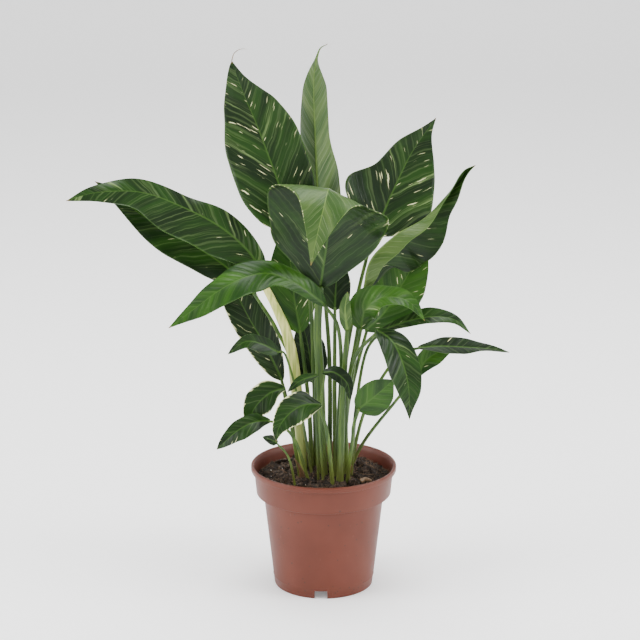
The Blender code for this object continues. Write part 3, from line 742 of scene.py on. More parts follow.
        faces.append(tuple(range(count - 1, -1, -1)))
        faces.append(tuple((rows - 1) * count + k for k in range(count)))
        return outward(new_piece(self.name + "_stalk", place.reshape(-1, 3), faces))

    def build_tendril(self) -> bpy.types.Object | None:
        """Builds the dried thread at the tip of the blade, where the leaf has one."""
        if not self.tendril:
            return None
        return tube(self.name + "_tendril", (self.midrib[-1], *self.tendril), (0.00045, 0.00012))


LEAVES = (
    Leaf(
        name="tall_left",
        midrib=((-0.023, 0.008, 0.299), (-0.038, 0.016, 0.341), (-0.054, 0.024, 0.383),
            (-0.063, 0.026, 0.404), (-0.071, 0.022, 0.427), (-0.073, 0.018, 0.435)),
        left=(0.024, 0.033, 0.032, 0.023, 0.009),
        right=(0.022, 0.03, 0.03, 0.022, 0.005),
        face=((0, -1, 0.2), (0, -1, 0.2), (0.1, -1, 0.1)),
        fold=(6, 6), curl=(4, 4),
        stem=((-0.006, 0.004, 0.093), (-0.008, 0.004, 0.18), (-0.012, 0.006, 0.25)),
        tone_and_shade=LeafToneAndShade.MATURE, streaks=0.8, flecks=0.9,
        seed=1.3, wave=0.0012,
        tendril=((-0.071, 0.017, 0.441), (-0.066, 0.016, 0.4445), (-0.060, 0.016, 0.4445)),
    ),
    Leaf(
        name="tall_centre",
        midrib=((-0.003, 0.018, 0.289), (-0.005, 0.026, 0.328), (-0.007, 0.032, 0.376),
            (-0.008, 0.03, 0.417), (-0.004, 0.02, 0.442), (0.003, 0.014, 0.449)),
        left=(0.027, 0.025, 0.016, 0.015, 0.001),
        right=(0.019, 0.019, 0.019, 0.014, 0.001),
        face=((0, 1, 0.1), (0, 1, 0.1), (0, 1, 0.3)),
        fold=(30, 35), curl=(30, 30),
        stem=((0.005, 0.012, 0.093), (0.005, 0.02, 0.18), (0.001, 0.022, 0.24)),
        tone_and_shade=LeafToneAndShade.MATURE, streaks=1.1, flecks=0.3, margin=0.05,
        seed=2.6,
    ),
    Leaf(
        name="front_drooping",
        midrib=((-0.003, -0.012, 0.256), (0.002, -0.02, 0.292), (0.005, -0.032, 0.325),
            (0.004, -0.05, 0.346), (0.0, -0.068, 0.336), (-0.006, -0.078, 0.312),
            (-0.01, -0.082, 0.293)),
        left=(0.022, 0.046, 0.05, 0.022, 0.006),
        right=(0.018, 0.042, 0.05, 0.02, 0.006),
        face=((0, -1, 0.1), (-0.1, -1, -0.2), (-0.3, -0.5, -1), (-0.1, 0.9, -0.5), (0, 1, 0)),
        curl=(6, 0),
        stem=((-0.001, -0.01, 0.095), (-0.003, -0.012, 0.179), (-0.005, -0.012, 0.221)),
        radius=(0.0044, 0.003), tone_and_shade=LeafToneAndShade.MATURE, streaks=0.6, flecks=0.5, margin=0.25,
        seed=3.9, wave=0.0014,
    ),
    Leaf(
        name="upper_right",
        midrib=((0.039, 0.02, 0.292), (0.048, 0.026, 0.308), (0.056, 0.034, 0.325),
            (0.072, 0.044, 0.356), (0.091, 0.04, 0.385)),
        left=(0.026, 0.039, 0.022, 0.015, 0.004),
        right=(0.02, 0.036, 0.03, 0.02, 0.004),
        face=((0, -1, 0.2), (0, -1, 0.2), (0, -1, 0.1)),
        fold=(6, 6), curl=(4, 4),
        stem=((0.01, 0.009, 0.093), (0.017, 0.012, 0.18), (0.027, 0.015, 0.24)),
        tone_and_shade=LeafToneAndShade.MATURE, streaks=0.8, flecks=1,
        seed=5.2, wave=0.0012,
    ),
    Leaf(
        name="right_arching",
        midrib=((0.032, -0.008, 0.252), (0.038, -0.014, 0.28), (0.058, -0.012, 0.3),
            (0.08, -0.006, 0.312), (0.096, 0.004, 0.326), (0.112, 0.014, 0.342),
            (0.122, 0.02, 0.35)),
        left=(0.008, 0.013, 0.011, 0.008, 0.006),
        right=(0.02, 0.038, 0.032, 0.012, 0.005),
        face=((0.5, 0.7, -0.5), (0.5, 0.6, -0.6), (0.3, -0.2, -0.6), (0.3, -0.9, 0.2)),
        fold=(20, 95), curl=(10, 10),
        stem=((0.012, -0.002, 0.093), (0.018, -0.004, 0.16), (0.026, -0.006, 0.21)),
        tone_and_shade=LeafToneAndShade.MATURE, streaks=0.6, flecks=0.7, margin=0.1,
        seed=6.5,
    ),
    Leaf(
        name="right_back",
        midrib=((0.034, 0.005, 0.216), (0.05, 0.018, 0.228), (0.064, 0.028, 0.248),
            (0.074, 0.034, 0.266), (0.08, 0.036, 0.292)),
        left=(0.012, 0.024, 0.024, 0.016, 0.006),
        right=(0.01, 0.02, 0.02, 0.014, 0.005),
        face=((0, -1, 0.2), (0, -1, 0.2), (0, -1, 0.2)),
        stem=((0.014, 0.004, 0.093), (0.018, 0.006, 0.14), (0.026, 0.006, 0.18)),
        tone_and_shade=LeafToneAndShade.FRESH_AND_BACKLIT, streaks=0.4, flecks=0.9, margin=0.1,
        seed=7.8,
    ),
    Leaf(
        name="right_middle",
        midrib=((0.03, -0.014, 0.222), (0.033, -0.02, 0.24), (0.045, -0.024, 0.251),
            (0.06, -0.03, 0.253), (0.071, -0.034, 0.248), (0.08, -0.04, 0.237)),
        left=(0.01, 0.015, 0.01, 0.008, 0.003),
        right=(0.006, 0.012, 0.009, 0.007, 0.003),
        face=((0, -1, 0.3), (0, -0.8, 0.8), (0.3, -0.6, 0.9)),
        stem=((0.016, -0.008, 0.093), (0.018, -0.01, 0.14), (0.024, -0.012, 0.19)),
        tone_and_shade=LeafToneAndShade.FRESH_AND_BACKLIT, streaks=0.4, flecks=0.3,
        seed=9.1,
    ),
    Leaf(
        name="left_arching",
        midrib=((0.002, -0.018, 0.243), (-0.019, -0.026, 0.262), (-0.042, -0.034, 0.274),
            (-0.062, -0.042, 0.273), (-0.082, -0.048, 0.264), (-0.102, -0.053, 0.25),
            (-0.122, -0.058, 0.236)),
        left=(0.005, 0.008, 0.015, 0.013, 0.005),
        right=(0.008, 0.011, 0.014, 0.011, 0.004),
        face=((0, -1, 0.4), (0, -0.8, 0.8), (-0.2, -0.9, 0.7)),
        fold=(4, 4), curl=(-20, -20),
        stem=((0.009, -0.014, 0.093), (0.013, -0.018, 0.163), (0.014, -0.019, 0.198),
            (0.011, -0.019, 0.227)),
        tone_and_shade=LeafToneAndShade.FRESH_AND_BACKLIT, streaks=0.35, flecks=0.2,
        seed=10.4, wave=0.0012,
    ),
    Leaf(
        name="far_left_upper",
        midrib=((-0.05, 0.004, 0.258), (-0.058, 0.008, 0.278), (-0.082, 0.012, 0.3),
            (-0.116, 0.014, 0.318), (-0.147, 0.01, 0.33), (-0.182, 0.004, 0.331),
            (-0.206, 0.0, 0.325)),
        left=(0.012, 0.024, 0.025, 0.014, 0.006),
        right=(0.009, 0.014, 0.01, 0.011, 0.005),
        face=((0, -1, 0.5), (0.2, -1, 0.5), (0, -1, 0.6)),
        fold=(0, 0), curl=(-10, -10),
        stem=((-0.016, -0.006, 0.093), (-0.023, -0.004, 0.177), (-0.029, -0.002, 0.212),
            (-0.037, 0.0, 0.233)),
        radius=(0.0026, 0.0032), tone_and_shade=LeafToneAndShade.MATURE, streaks=0.85, flecks=0.4,
        seed=11.7, wing=1.6,
    ),
    Leaf(
        name="far_left_lower",
        midrib=((-0.056, 0.02, 0.242), (-0.081, 0.026, 0.265), (-0.109, 0.03, 0.283),
            (-0.141, 0.03, 0.302), (-0.165, 0.028, 0.32), (-0.185, 0.024, 0.336)),
        left=(0.01, 0.018, 0.02, 0.013, 0.004),
        right=(0.008, 0.014, 0.016, 0.014, 0.006),
        face=((0, -1, 0.5), (0.2, -1, 0.5), (0, -1, 0.6)),
        stem=((-0.014, 0.004, 0.093), (-0.023, 0.006, 0.177), (-0.038, 0.008, 0.215),
            (-0.05, 0.014, 0.234)),
        tone_and_shade=LeafToneAndShade.MATURE, streaks=0.7, flecks=0.5,
        seed=13.0,
    ),
    Leaf(
        name="left_back_ribbon",
        midrib=((-0.034, 0.01, 0.172), (-0.047, 0.016, 0.198), (-0.062, 0.02, 0.224),
            (-0.074, 0.026, 0.248), (-0.082, 0.028, 0.268)),
        left=(0.009, 0.014, 0.015, 0.014, 0.006),
        right=(0.007, 0.013, 0.015, 0.015, 0.006),
        face=((0, -1, 0.2), (0, -1, 0.2), (0, -1, 0.2)),
        stem=((-0.019, 0.009, 0.093), (-0.025, 0.011, 0.13)),
        tone_and_shade=LeafToneAndShade.SHADED, streaks=0.5, flecks=0.9, margin=0.45,
        seed=14.3,
    ),
    Leaf(
        name="small_curled",
        midrib=((-0.036, -0.014, 0.203), (-0.05, -0.02, 0.212), (-0.063, -0.024, 0.215),
            (-0.077, -0.026, 0.205)),
        left=(0.005, 0.007, 0.007, 0.005, 0.002),
        right=(0.004, 0.006, 0.006, 0.004, 0.002),
        face=((0, -1, 0.4), (0, -1, 0.6), (0, -1, 0.4)),
        stem=((-0.008, -0.014, 0.093), (-0.018, -0.014, 0.15), (-0.03, -0.012, 0.198)),
        radius=(0.0013, 0.0009), tone_and_shade=LeafToneAndShade.MATURE, streaks=0.4, flecks=0.2, margin=0.1,
        seed=15.6,
    ),
    Leaf(
        name="centre_left_back",
        midrib=((-0.019, 0.012, 0.212), (-0.024, 0.018, 0.24), (-0.027, 0.022, 0.268),
            (-0.034, 0.026, 0.298)),
        left=(0.012, 0.02, 0.022, 0.016, 0.006),
        right=(0.01, 0.018, 0.02, 0.014, 0.006),
        face=((0, -1, 0.2), (0, -1, 0.2), (0, -1, 0.2)),
        stem=((-0.01, 0.0, 0.093), (-0.012, 0.004, 0.15)),
        tone_and_shade=LeafToneAndShade.FRESH_AND_BACKLIT, streaks=0.35, flecks=0.8,
        seed=16.9,
    ),
    Leaf(
        name="centre_low_dark",
        midrib=((-0.008, 0.01, 0.17), (-0.013, 0.014, 0.201), (-0.019, 0.018, 0.225)),
        left=(0.008, 0.014, 0.014, 0.01, 0.004),
        right=(0.008, 0.014, 0.014, 0.01, 0.004),
        face=((0, -1, 0.2), (0, -1, 0.2), (0, -1, 0.2)),
        stem=((-0.004, 0.008, 0.093), (-0.006, 0.009, 0.13)),
        tone_and_shade=LeafToneAndShade.SHADED, streaks=0.2, flecks=0.3,
        seed=18.2,
    ),
    Leaf(
        name="right_front_drooping",
        midrib=((0.042, -0.03, 0.227), (0.054, -0.042, 0.221), (0.062, -0.052, 0.207),
            (0.067, -0.058, 0.187), (0.068, -0.06, 0.161)),
        left=(0.006, 0.012, 0.013, 0.01, 0.003),
        right=(0.008, 0.013, 0.014, 0.01, 0.003),
        face=((0.1, -0.6, 0.8), (0.1, -0.9, 0.6), (0.1, -1, 0.2)),
        fold=(10, 10), 
        stem=((0.02, -0.016, 0.093), (0.018, -0.022, 0.15), (0.024, -0.026, 0.2)),
        tone_and_shade=LeafToneAndShade.MATURE, streaks=0.7, flecks=0.5, margin=0.05,
        seed=19.5,
    ),
    Leaf(
        name="right_low_rounded",
        midrib=((0.027, -0.04, 0.163), (0.037, -0.046, 0.173), (0.046, -0.052, 0.183),
            (0.055, -0.056, 0.193)),
        left=(0.008, 0.012, 0.013, 0.011, 0.005),
        right=(0.009, 0.014, 0.014, 0.012, 0.005),
        face=((0, -1, 0.2), (0, -1, 0.2), (0, -1, 0.2)),
        stem=((0.018, -0.026, 0.093), (0.023, -0.034, 0.134), (0.024, -0.038, 0.149)),
        radius=(0.0016, 0.0013), tone_and_shade=LeafToneAndShade.FRESH_AND_BACKLIT, streaks=0.35, flecks=0.4, margin=0.1,
        seed=20.8,
    ),
    Leaf(
        name="right_thin_arching",
        midrib=((0.046, -0.006, 0.219), (0.067, -0.01, 0.228), (0.087, -0.014, 0.233),
            (0.105, -0.016, 0.231), (0.118, -0.018, 0.22)),
        left=(0.003, 0.006, 0.008, 0.006, 0.002),
        right=(0.003, 0.006, 0.007, 0.005, 0.002),
        face=((0, -0.8, 0.7), (0, -0.7, 0.8), (0.2, -0.7, 0.7)),
        stem=((0.022, -0.008, 0.093), (0.026, -0.008, 0.15), (0.034, -0.006, 0.2)),
        radius=(0.0016, 0.0012), tone_and_shade=LeafToneAndShade.MATURE, streaks=0.6, flecks=0.4, margin=0.15,
        seed=22.1,
    ),
    Leaf(
        name="right_lowest_long",
        midrib=((0.077, 0.0, 0.203), (0.095, 0.004, 0.203), (0.115, 0.008, 0.201),
            (0.136, 0.01, 0.199), (0.152, 0.01, 0.196)),
        left=(0.004, 0.008, 0.008, 0.005, 0.002),
        right=(0.004, 0.008, 0.007, 0.003, 0.0015),
        face=((0, -0.7, 0.8), (0, -0.7, 0.8), (0, -0.7, 0.8)),
        stem=((0.02, 0.0, 0.093), (0.034, 0.0, 0.15), (0.06, 0.0, 0.195)),
        radius=(0.0016, 0.0012), tone_and_shade=LeafToneAndShade.SHADED, streaks=0.6, flecks=0.4,
        seed=23.4,
    ),
    Leaf(
        name="right_low_back",
        midrib=((0.077, 0.012, 0.175), (0.084, 0.016, 0.187), (0.096, 0.02, 0.194),
            (0.109, 0.024, 0.198)),
        left=(0.004, 0.008, 0.009, 0.007, 0.003),
        right=(0.004, 0.008, 0.009, 0.007, 0.003),
        face=((0, -1, 0.3), (0, -1, 0.3), (0, -1, 0.3)),
        stem=((0.018, 0.008, 0.093), (0.034, 0.01, 0.12), (0.06, 0.01, 0.155)),
        radius=(0.0016, 0.0012), tone_and_shade=LeafToneAndShade.FRESH_AND_BACKLIT, streaks=0.3, flecks=0.3, margin=0.1,
        seed=24.7,
    ),
    Leaf(
        name="low_left_tip",
        midrib=((-0.043, -0.032, 0.151), (-0.055, -0.038, 0.152), (-0.069, -0.042, 0.146),
            (-0.086, -0.045, 0.131)),
        left=(0.004, 0.009, 0.01, 0.007, 0.003),
        right=(0.004, 0.008, 0.008, 0.006, 0.003),
        face=((0, -0.8, 0.7), (0, -0.8, 0.7), (-0.1, -0.9, 0.5)),
        stem=((-0.01, -0.022, 0.093), (-0.022, -0.028, 0.13), (-0.034, -0.031, 0.147)),
        radius=(0.0014, 0.0011), tone_and_shade=LeafToneAndShade.MATURE, streaks=0.7, flecks=0.5, margin=0.2,
        seed=26.0,
    ),
    Leaf(
        name="left_cream_margin",
        midrib=((-0.031, -0.014, 0.173), (-0.043, -0.017, 0.17), (-0.054, -0.021, 0.161),
            (-0.059, -0.023, 0.151), (-0.057, -0.024, 0.141)),
        left=(0.004, 0.01, 0.012, 0.008, 0.002),
        right=(0.006, 0.012, 0.012, 0.008, 0.003),
        face=((0, -0.8, 0.7), (0, -0.9, 0.5), (0, -1, 0.1)),
        stem=((-0.018, -0.012, 0.093), (-0.026, -0.02, 0.14)),
        radius=(0.0016, 0.0012), tone_and_shade=LeafToneAndShade.MATURE, streaks=0.6, flecks=0.4, margin=0.5,
        seed=27.3,
    ),
    Leaf(
        name="front_cream_margin",
        midrib=((-0.002, -0.036, 0.166), (-0.016, -0.044, 0.168), (-0.028, -0.052, 0.163),
            (-0.036, -0.058, 0.153), (-0.038, -0.06, 0.143)),
        left=(0.006, 0.012, 0.013, 0.009, 0.003),
        right=(0.005, 0.012, 0.012, 0.008, 0.003),
        face=((0, -0.8, 0.8), (0, -0.9, 0.6), (0, -1, 0.2)),
        stem=((0.008, -0.032, 0.093), (0.003, -0.036, 0.14)),
        radius=(0.0018, 0.0014), tone_and_shade=LeafToneAndShade.MATURE, streaks=0.6, flecks=0.4, margin=0.5,
        seed=28.6,
    ),
    Leaf(
        name="tiny_shoot",
        midrib=((-0.037, -0.04, 0.135), (-0.043, -0.044, 0.139), (-0.049, -0.046, 0.142)),
        left=(0.002, 0.004, 0.004, 0.003, 0.0015),
        right=(0.002, 0.004, 0.004, 0.003, 0.0015),
        face=((0, -0.8, 0.6), (0, -0.8, 0.6)),
        stem=((-0.022, -0.032, 0.093), (-0.028, -0.036, 0.12)),
        radius=(0.0011, 0.0008), tone_and_shade=LeafToneAndShade.SHADED, streaks=0.3, flecks=0.2,
        seed=29.9,
    ),
    Leaf(
        name="small_across_stem",
        midrib=((-0.001, -0.03, 0.191), (0.009, -0.034, 0.192), (0.019, -0.038, 0.184),
            (0.021, -0.04, 0.171)),
        left=(0.003, 0.006, 0.006, 0.004, 0.002),
        right=(0.003, 0.006, 0.006, 0.004, 0.002),
        face=((0, -0.8, 0.7), (0, -0.9, 0.5)),
        stem=((0.0, -0.024, 0.093), (-0.003, -0.026, 0.15)),
        radius=(0.0012, 0.0009), tone_and_shade=LeafToneAndShade.SHADED, streaks=0.4, flecks=0.2, margin=0.1,
        seed=31.2,
    ),
    Leaf(
        name="small_twisted",
        midrib=((-0.005, -0.024, 0.187), (-0.019, -0.03, 0.184), (-0.029, -0.034, 0.176)),
        left=(0.002, 0.004, 0.004, 0.003, 0.0015),
        right=(0.002, 0.004, 0.004, 0.003, 0.0015),
        face=((0, -0.8, 0.7), (0, -0.9, 0.5)),
        stem=((-0.004, -0.022, 0.093), (-0.006, -0.023, 0.15)),
        radius=(0.0012, 0.0009), tone_and_shade=LeafToneAndShade.MATURE, streaks=0.4, flecks=0.2, margin=0.2,
        seed=32.5,
    ),
    Leaf(
        name="small_upright",
        midrib=((0.019, -0.024, 0.223), (0.017, -0.026, 0.242), (0.019, -0.026, 0.257)),
        left=(0.003, 0.005, 0.005, 0.004, 0.002),
        right=(0.003, 0.005, 0.005, 0.004, 0.002),
        face=((0, 1, 0.1), (0, 1, 0.1)),
        stem=((0.013, -0.028, 0.093), (0.015, -0.026, 0.16)),
        radius=(0.0032, 0.002), tone_and_shade=LeafToneAndShade.FRESH_AND_BACKLIT, streaks=0.6, flecks=0.2, margin=0.2,
        seed=33.8,
    ),
    Leaf(
        name="centre_shaded",
        midrib=((0.009, 0.006, 0.233), (0.01, 0.01, 0.253), (0.012, 0.012, 0.274)),
        left=(0.008, 0.014, 0.015, 0.012, 0.006),
        right=(0.008, 0.012, 0.012, 0.01, 0.005),
        face=((0, -1, 0.1), (0, -1, 0.1)),
        stem=((0.01, 0.002, 0.093), (0.009, 0.004, 0.16)),
        tone_and_shade=LeafToneAndShade.SHADED, streaks=0.3, flecks=0.2, margin=0.3,
        seed=35.1,
    ),
)


# ---- the rest of the object --------------------------------------------------
@dataclass
class Foliage:
    """Every leaf with its finishes."""

    leaves: tuple[Leaf, ...]
    peat_height: float = 0.088
    winged: float = 1.3

    def build(self) -> None:
        """Builds, dresses and settles each blade, stalk and tendril."""
        surface = leaf_surface_group()
        stalk_green = StemFinish("stalk_green", roughness=0.38, specular=0.3).make()
        stalk_cream = StemFinish(
            "stalk_cream", roughness=0.42, green=(0.28, 0.34, 0.05), light=(0.62, 0.60, 0.20),
            foot=(0.12, 0.16, 0.03), foot_top=0.26,
        ).make()
        dry = GroundFinish("dry_tip", dark=(0.10, 0.06, 0.02), light=(0.22, 0.15, 0.06), relief=0.2).make()
        for leaf in self.leaves:
            # The greens carry the leaf's painted shade or painted light shining through it.
            dark, fresh = leaf.tone_and_shade.value
            shared = {"seed": leaf.seed, "margin": leaf.margin}
            upper = LeafFinish(
                leaf.name + "_upper", specular=0.17, dark=dark, fresh=fresh, streaks=leaf.streaks,
                flecks=leaf.flecks, **shared,
            ).make(surface)
            under = LeafFinish(
                leaf.name + "_under", specular=0.15, dark=(0.026, 0.060, 0.012), fresh=(0.062, 0.105, 0.027),
                pale=(0.22, 0.28, 0.12), rib=(0.13, 0.21, 0.045),
                streaks=leaf.streaks * 0.7, flecks=leaf.flecks * 0.3, veins=0.8, relief=0.45, **shared,
            ).make(surface)
            blade = leaf.build_blade()
            blade.data.materials.append(upper)
            blade.data.materials.append(under)
            settle(blade, "leaf_green", leaf.name + "_blade")
            stalk = leaf.build_stem(self.peat_height)
            stalk.data.materials.append(stalk_cream if leaf.wing > self.winged else stalk_green)
            settle(stalk, "stem_green", leaf.name + "_stem")
            thread = leaf.build_tendril()
            if thread:
                thread.data.materials.append(dry)
                settle(thread, "leaf_green")


@dataclass
class Pot:
    """The moulded nursery pot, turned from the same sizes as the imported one."""

    height: float = 0.103
    lip_radius: float = 0.060
    lip_depth: float = 0.0048
    band_top: float = 0.0572
    band_foot: float = 0.0554
    band_height: float = 0.0792
    body_top: float = 0.0496
    foot: float = 0.0404
    wall: float = 0.0012
    floor_top: float = 0.0083
    floor_under: float = 0.0065
    dish: float = 0.016
    dish_floor: float = 0.0018
    segments: int = 144
    notches: int = 4
    notch_width: float = 0.0104
    notch_height: float = 0.007
    notch_turn: float = -93.2

    def profile(self) -> list[tuple[float, float]]:
        """The wall's outline (radius, height), from the inside of the floor round to its underside."""
        lip_foot = self.height - self.lip_depth
        ridge = 0.0085
        lean = (self.body_top - self.foot - 0.0006) / (self.band_height - 0.0009 - 0.0012)

        def body(z: float) -> float:
            """The body's outer radius at a height."""
            return self.foot + 0.0006 + lean * (z - 0.0012)

        return [
            (0.0, self.dish_floor), (self.dish + 0.0014, self.dish_floor),
            (self.dish + 0.0032, self.floor_top), (self.foot - 0.0010, self.floor_top),
            (self.foot, self.floor_top + 0.0008),
            (self.body_top - self.wall, self.band_height + 0.0002),
            (self.band_foot - self.wall, self.band_height + 0.0014),
            (self.band_top - self.wall, lip_foot), (self.band_top + 0.0002, self.height - 0.0006),
            (self.band_top + 0.0008, self.height - 0.0001), (self.band_top + 0.0014, self.height),
            (self.lip_radius - 0.0009, self.height), (self.lip_radius - 0.0004, self.height - 0.0002),
            (self.lip_radius - 0.0001, self.height - 0.0007), (self.lip_radius, self.height - 0.0014),
            (self.lip_radius - 0.0001, lip_foot + 0.0009),
            (self.lip_radius - 0.0004, lip_foot + 0.0003), (self.lip_radius - 0.0010, lip_foot),
            (self.band_top + 0.0005, lip_foot - 0.0002), (self.band_top, lip_foot - 0.0008),
            (self.band_foot + 0.0002, self.band_height + 0.0010),
            (self.band_foot, self.band_height + 0.0003), (self.band_foot - 0.0005, self.band_height),
            (self.body_top + 0.0006, self.band_height - 0.0007),
            (self.body_top, self.band_height - 0.0012), (body(ridge + 0.0006), ridge + 0.0006),
            (body(ridge) + 0.00018, ridge), (body(ridge) + 0.00018, ridge - 0.0005),
            (body(ridge - 0.0011), ridge - 0.0011), (self.foot + 0.0006, 0.0012),
            (self.foot + 0.0003, 0.0003), (self.foot - 0.0002, 0.0), (self.foot - self.wall, 0.0),
            (self.foot - 0.0022, self.floor_under), (self.dish + 0.0020, self.floor_under),
            (self.dish, 0.0), (0.0, 0.0),
        ]

    def turn(self) -> bpy.types.Object:
        """Turns the profile about the pot's axis.

        Returns:
            The closed pot, before its notches are cut.
        """
        points, rings, faces = [], [], []
        count = self.segments
        for r, z in self.profile():
            if r == 0:
                rings.append([len(points)] * count)
                points.append((0.0, 0.0, z))
                continue
            rings.append(list(range(len(points), len(points) + count)))
            for k in range(count):
                a = 2 * math.pi * k / count
                points.append((r * math.cos(a), r * math.sin(a), z))
        for one, two in zip(rings, rings[1:]):
            for k in range(count):
                n = (k + 1) % count
                corners = (one[k], one[n], two[n], two[k])
                faces.append(tuple(dict.fromkeys(corners)))
        return outward(new_piece("nursery_pot", np.array(points), faces))

    def cutters(self) -> list[bpy.types.Object]:
        """Boxes for the foot notches and the drain slots.

        Returns:
            One box a cut, standing where it cuts.
        """
        boxes = []
        for k in range(self.notches):
            turn = math.radians(self.notch_turn + 360 * k / self.notches)
            notch = (self.foot + 0.0006, 0.008, self.notch_width, 2 * self.notch_height, 0.0)
            slot = (0.0305, 0.009, 0.006, 0.006, self.floor_top - 0.0009)
            for away, deep, wide, tall, height in (notch, slot):
                shell = bmesh.new()
                bmesh.ops.create_cube(shell, size=1.0)
                for v in shell.verts:
                    x, y = v.co.x * deep + away, v.co.y * wide
                    turned_x = x * math.cos(turn) - y * math.sin(turn)
                    turned_y = x * math.sin(turn) + y * math.cos(turn)
                    v.co = Vector((turned_x, turned_y, v.co.z * tall + height))
                mesh = bpy.data.meshes.new("cut")
                shell.to_mesh(mesh)
                shell.free()
                box = bpy.data.objects.new("cut", mesh)
                bpy.context.scene.collection.objects.link(box)
                boxes.append(box)
        return boxes

    def build(self, finish: bpy.types.Material) -> None:
        """Builds, cuts, dresses and settles the pot.

        Args:
            finish: the pot's material.
        """
        pot = self.turn()
        pot.data.materials.append(finish)
        boxes = self.cutters()
        for box in boxes:
            cut = pot.modifiers.new("cut", "BOOLEAN")
            cut.operation = "DIFFERENCE"
            cut.object = box
        bpy.context.view_layer.update()
        bake_modifiers(pot)
        for box in boxes:
            bpy.data.objects.remove(box)
        pot.data.shade_smooth()
        pot.data.set_sharp_from_angle(angle=math.radians(32))
        settle(pot, "pot_plastic", "pot")


class Form(Enum):
    """The shape of one item of litter."""

    CRUMB = "crumb"
    FIBRE = "fibre"


@dataclass(frozen=True)
class Litter:
    """One kind of litter: its form, items a square metre, size, length, how deep it sits and its tilt."""

    form: Form
    density: float
    size: float
    stretch: float
    sink: float
    tilt: float
    seed: int


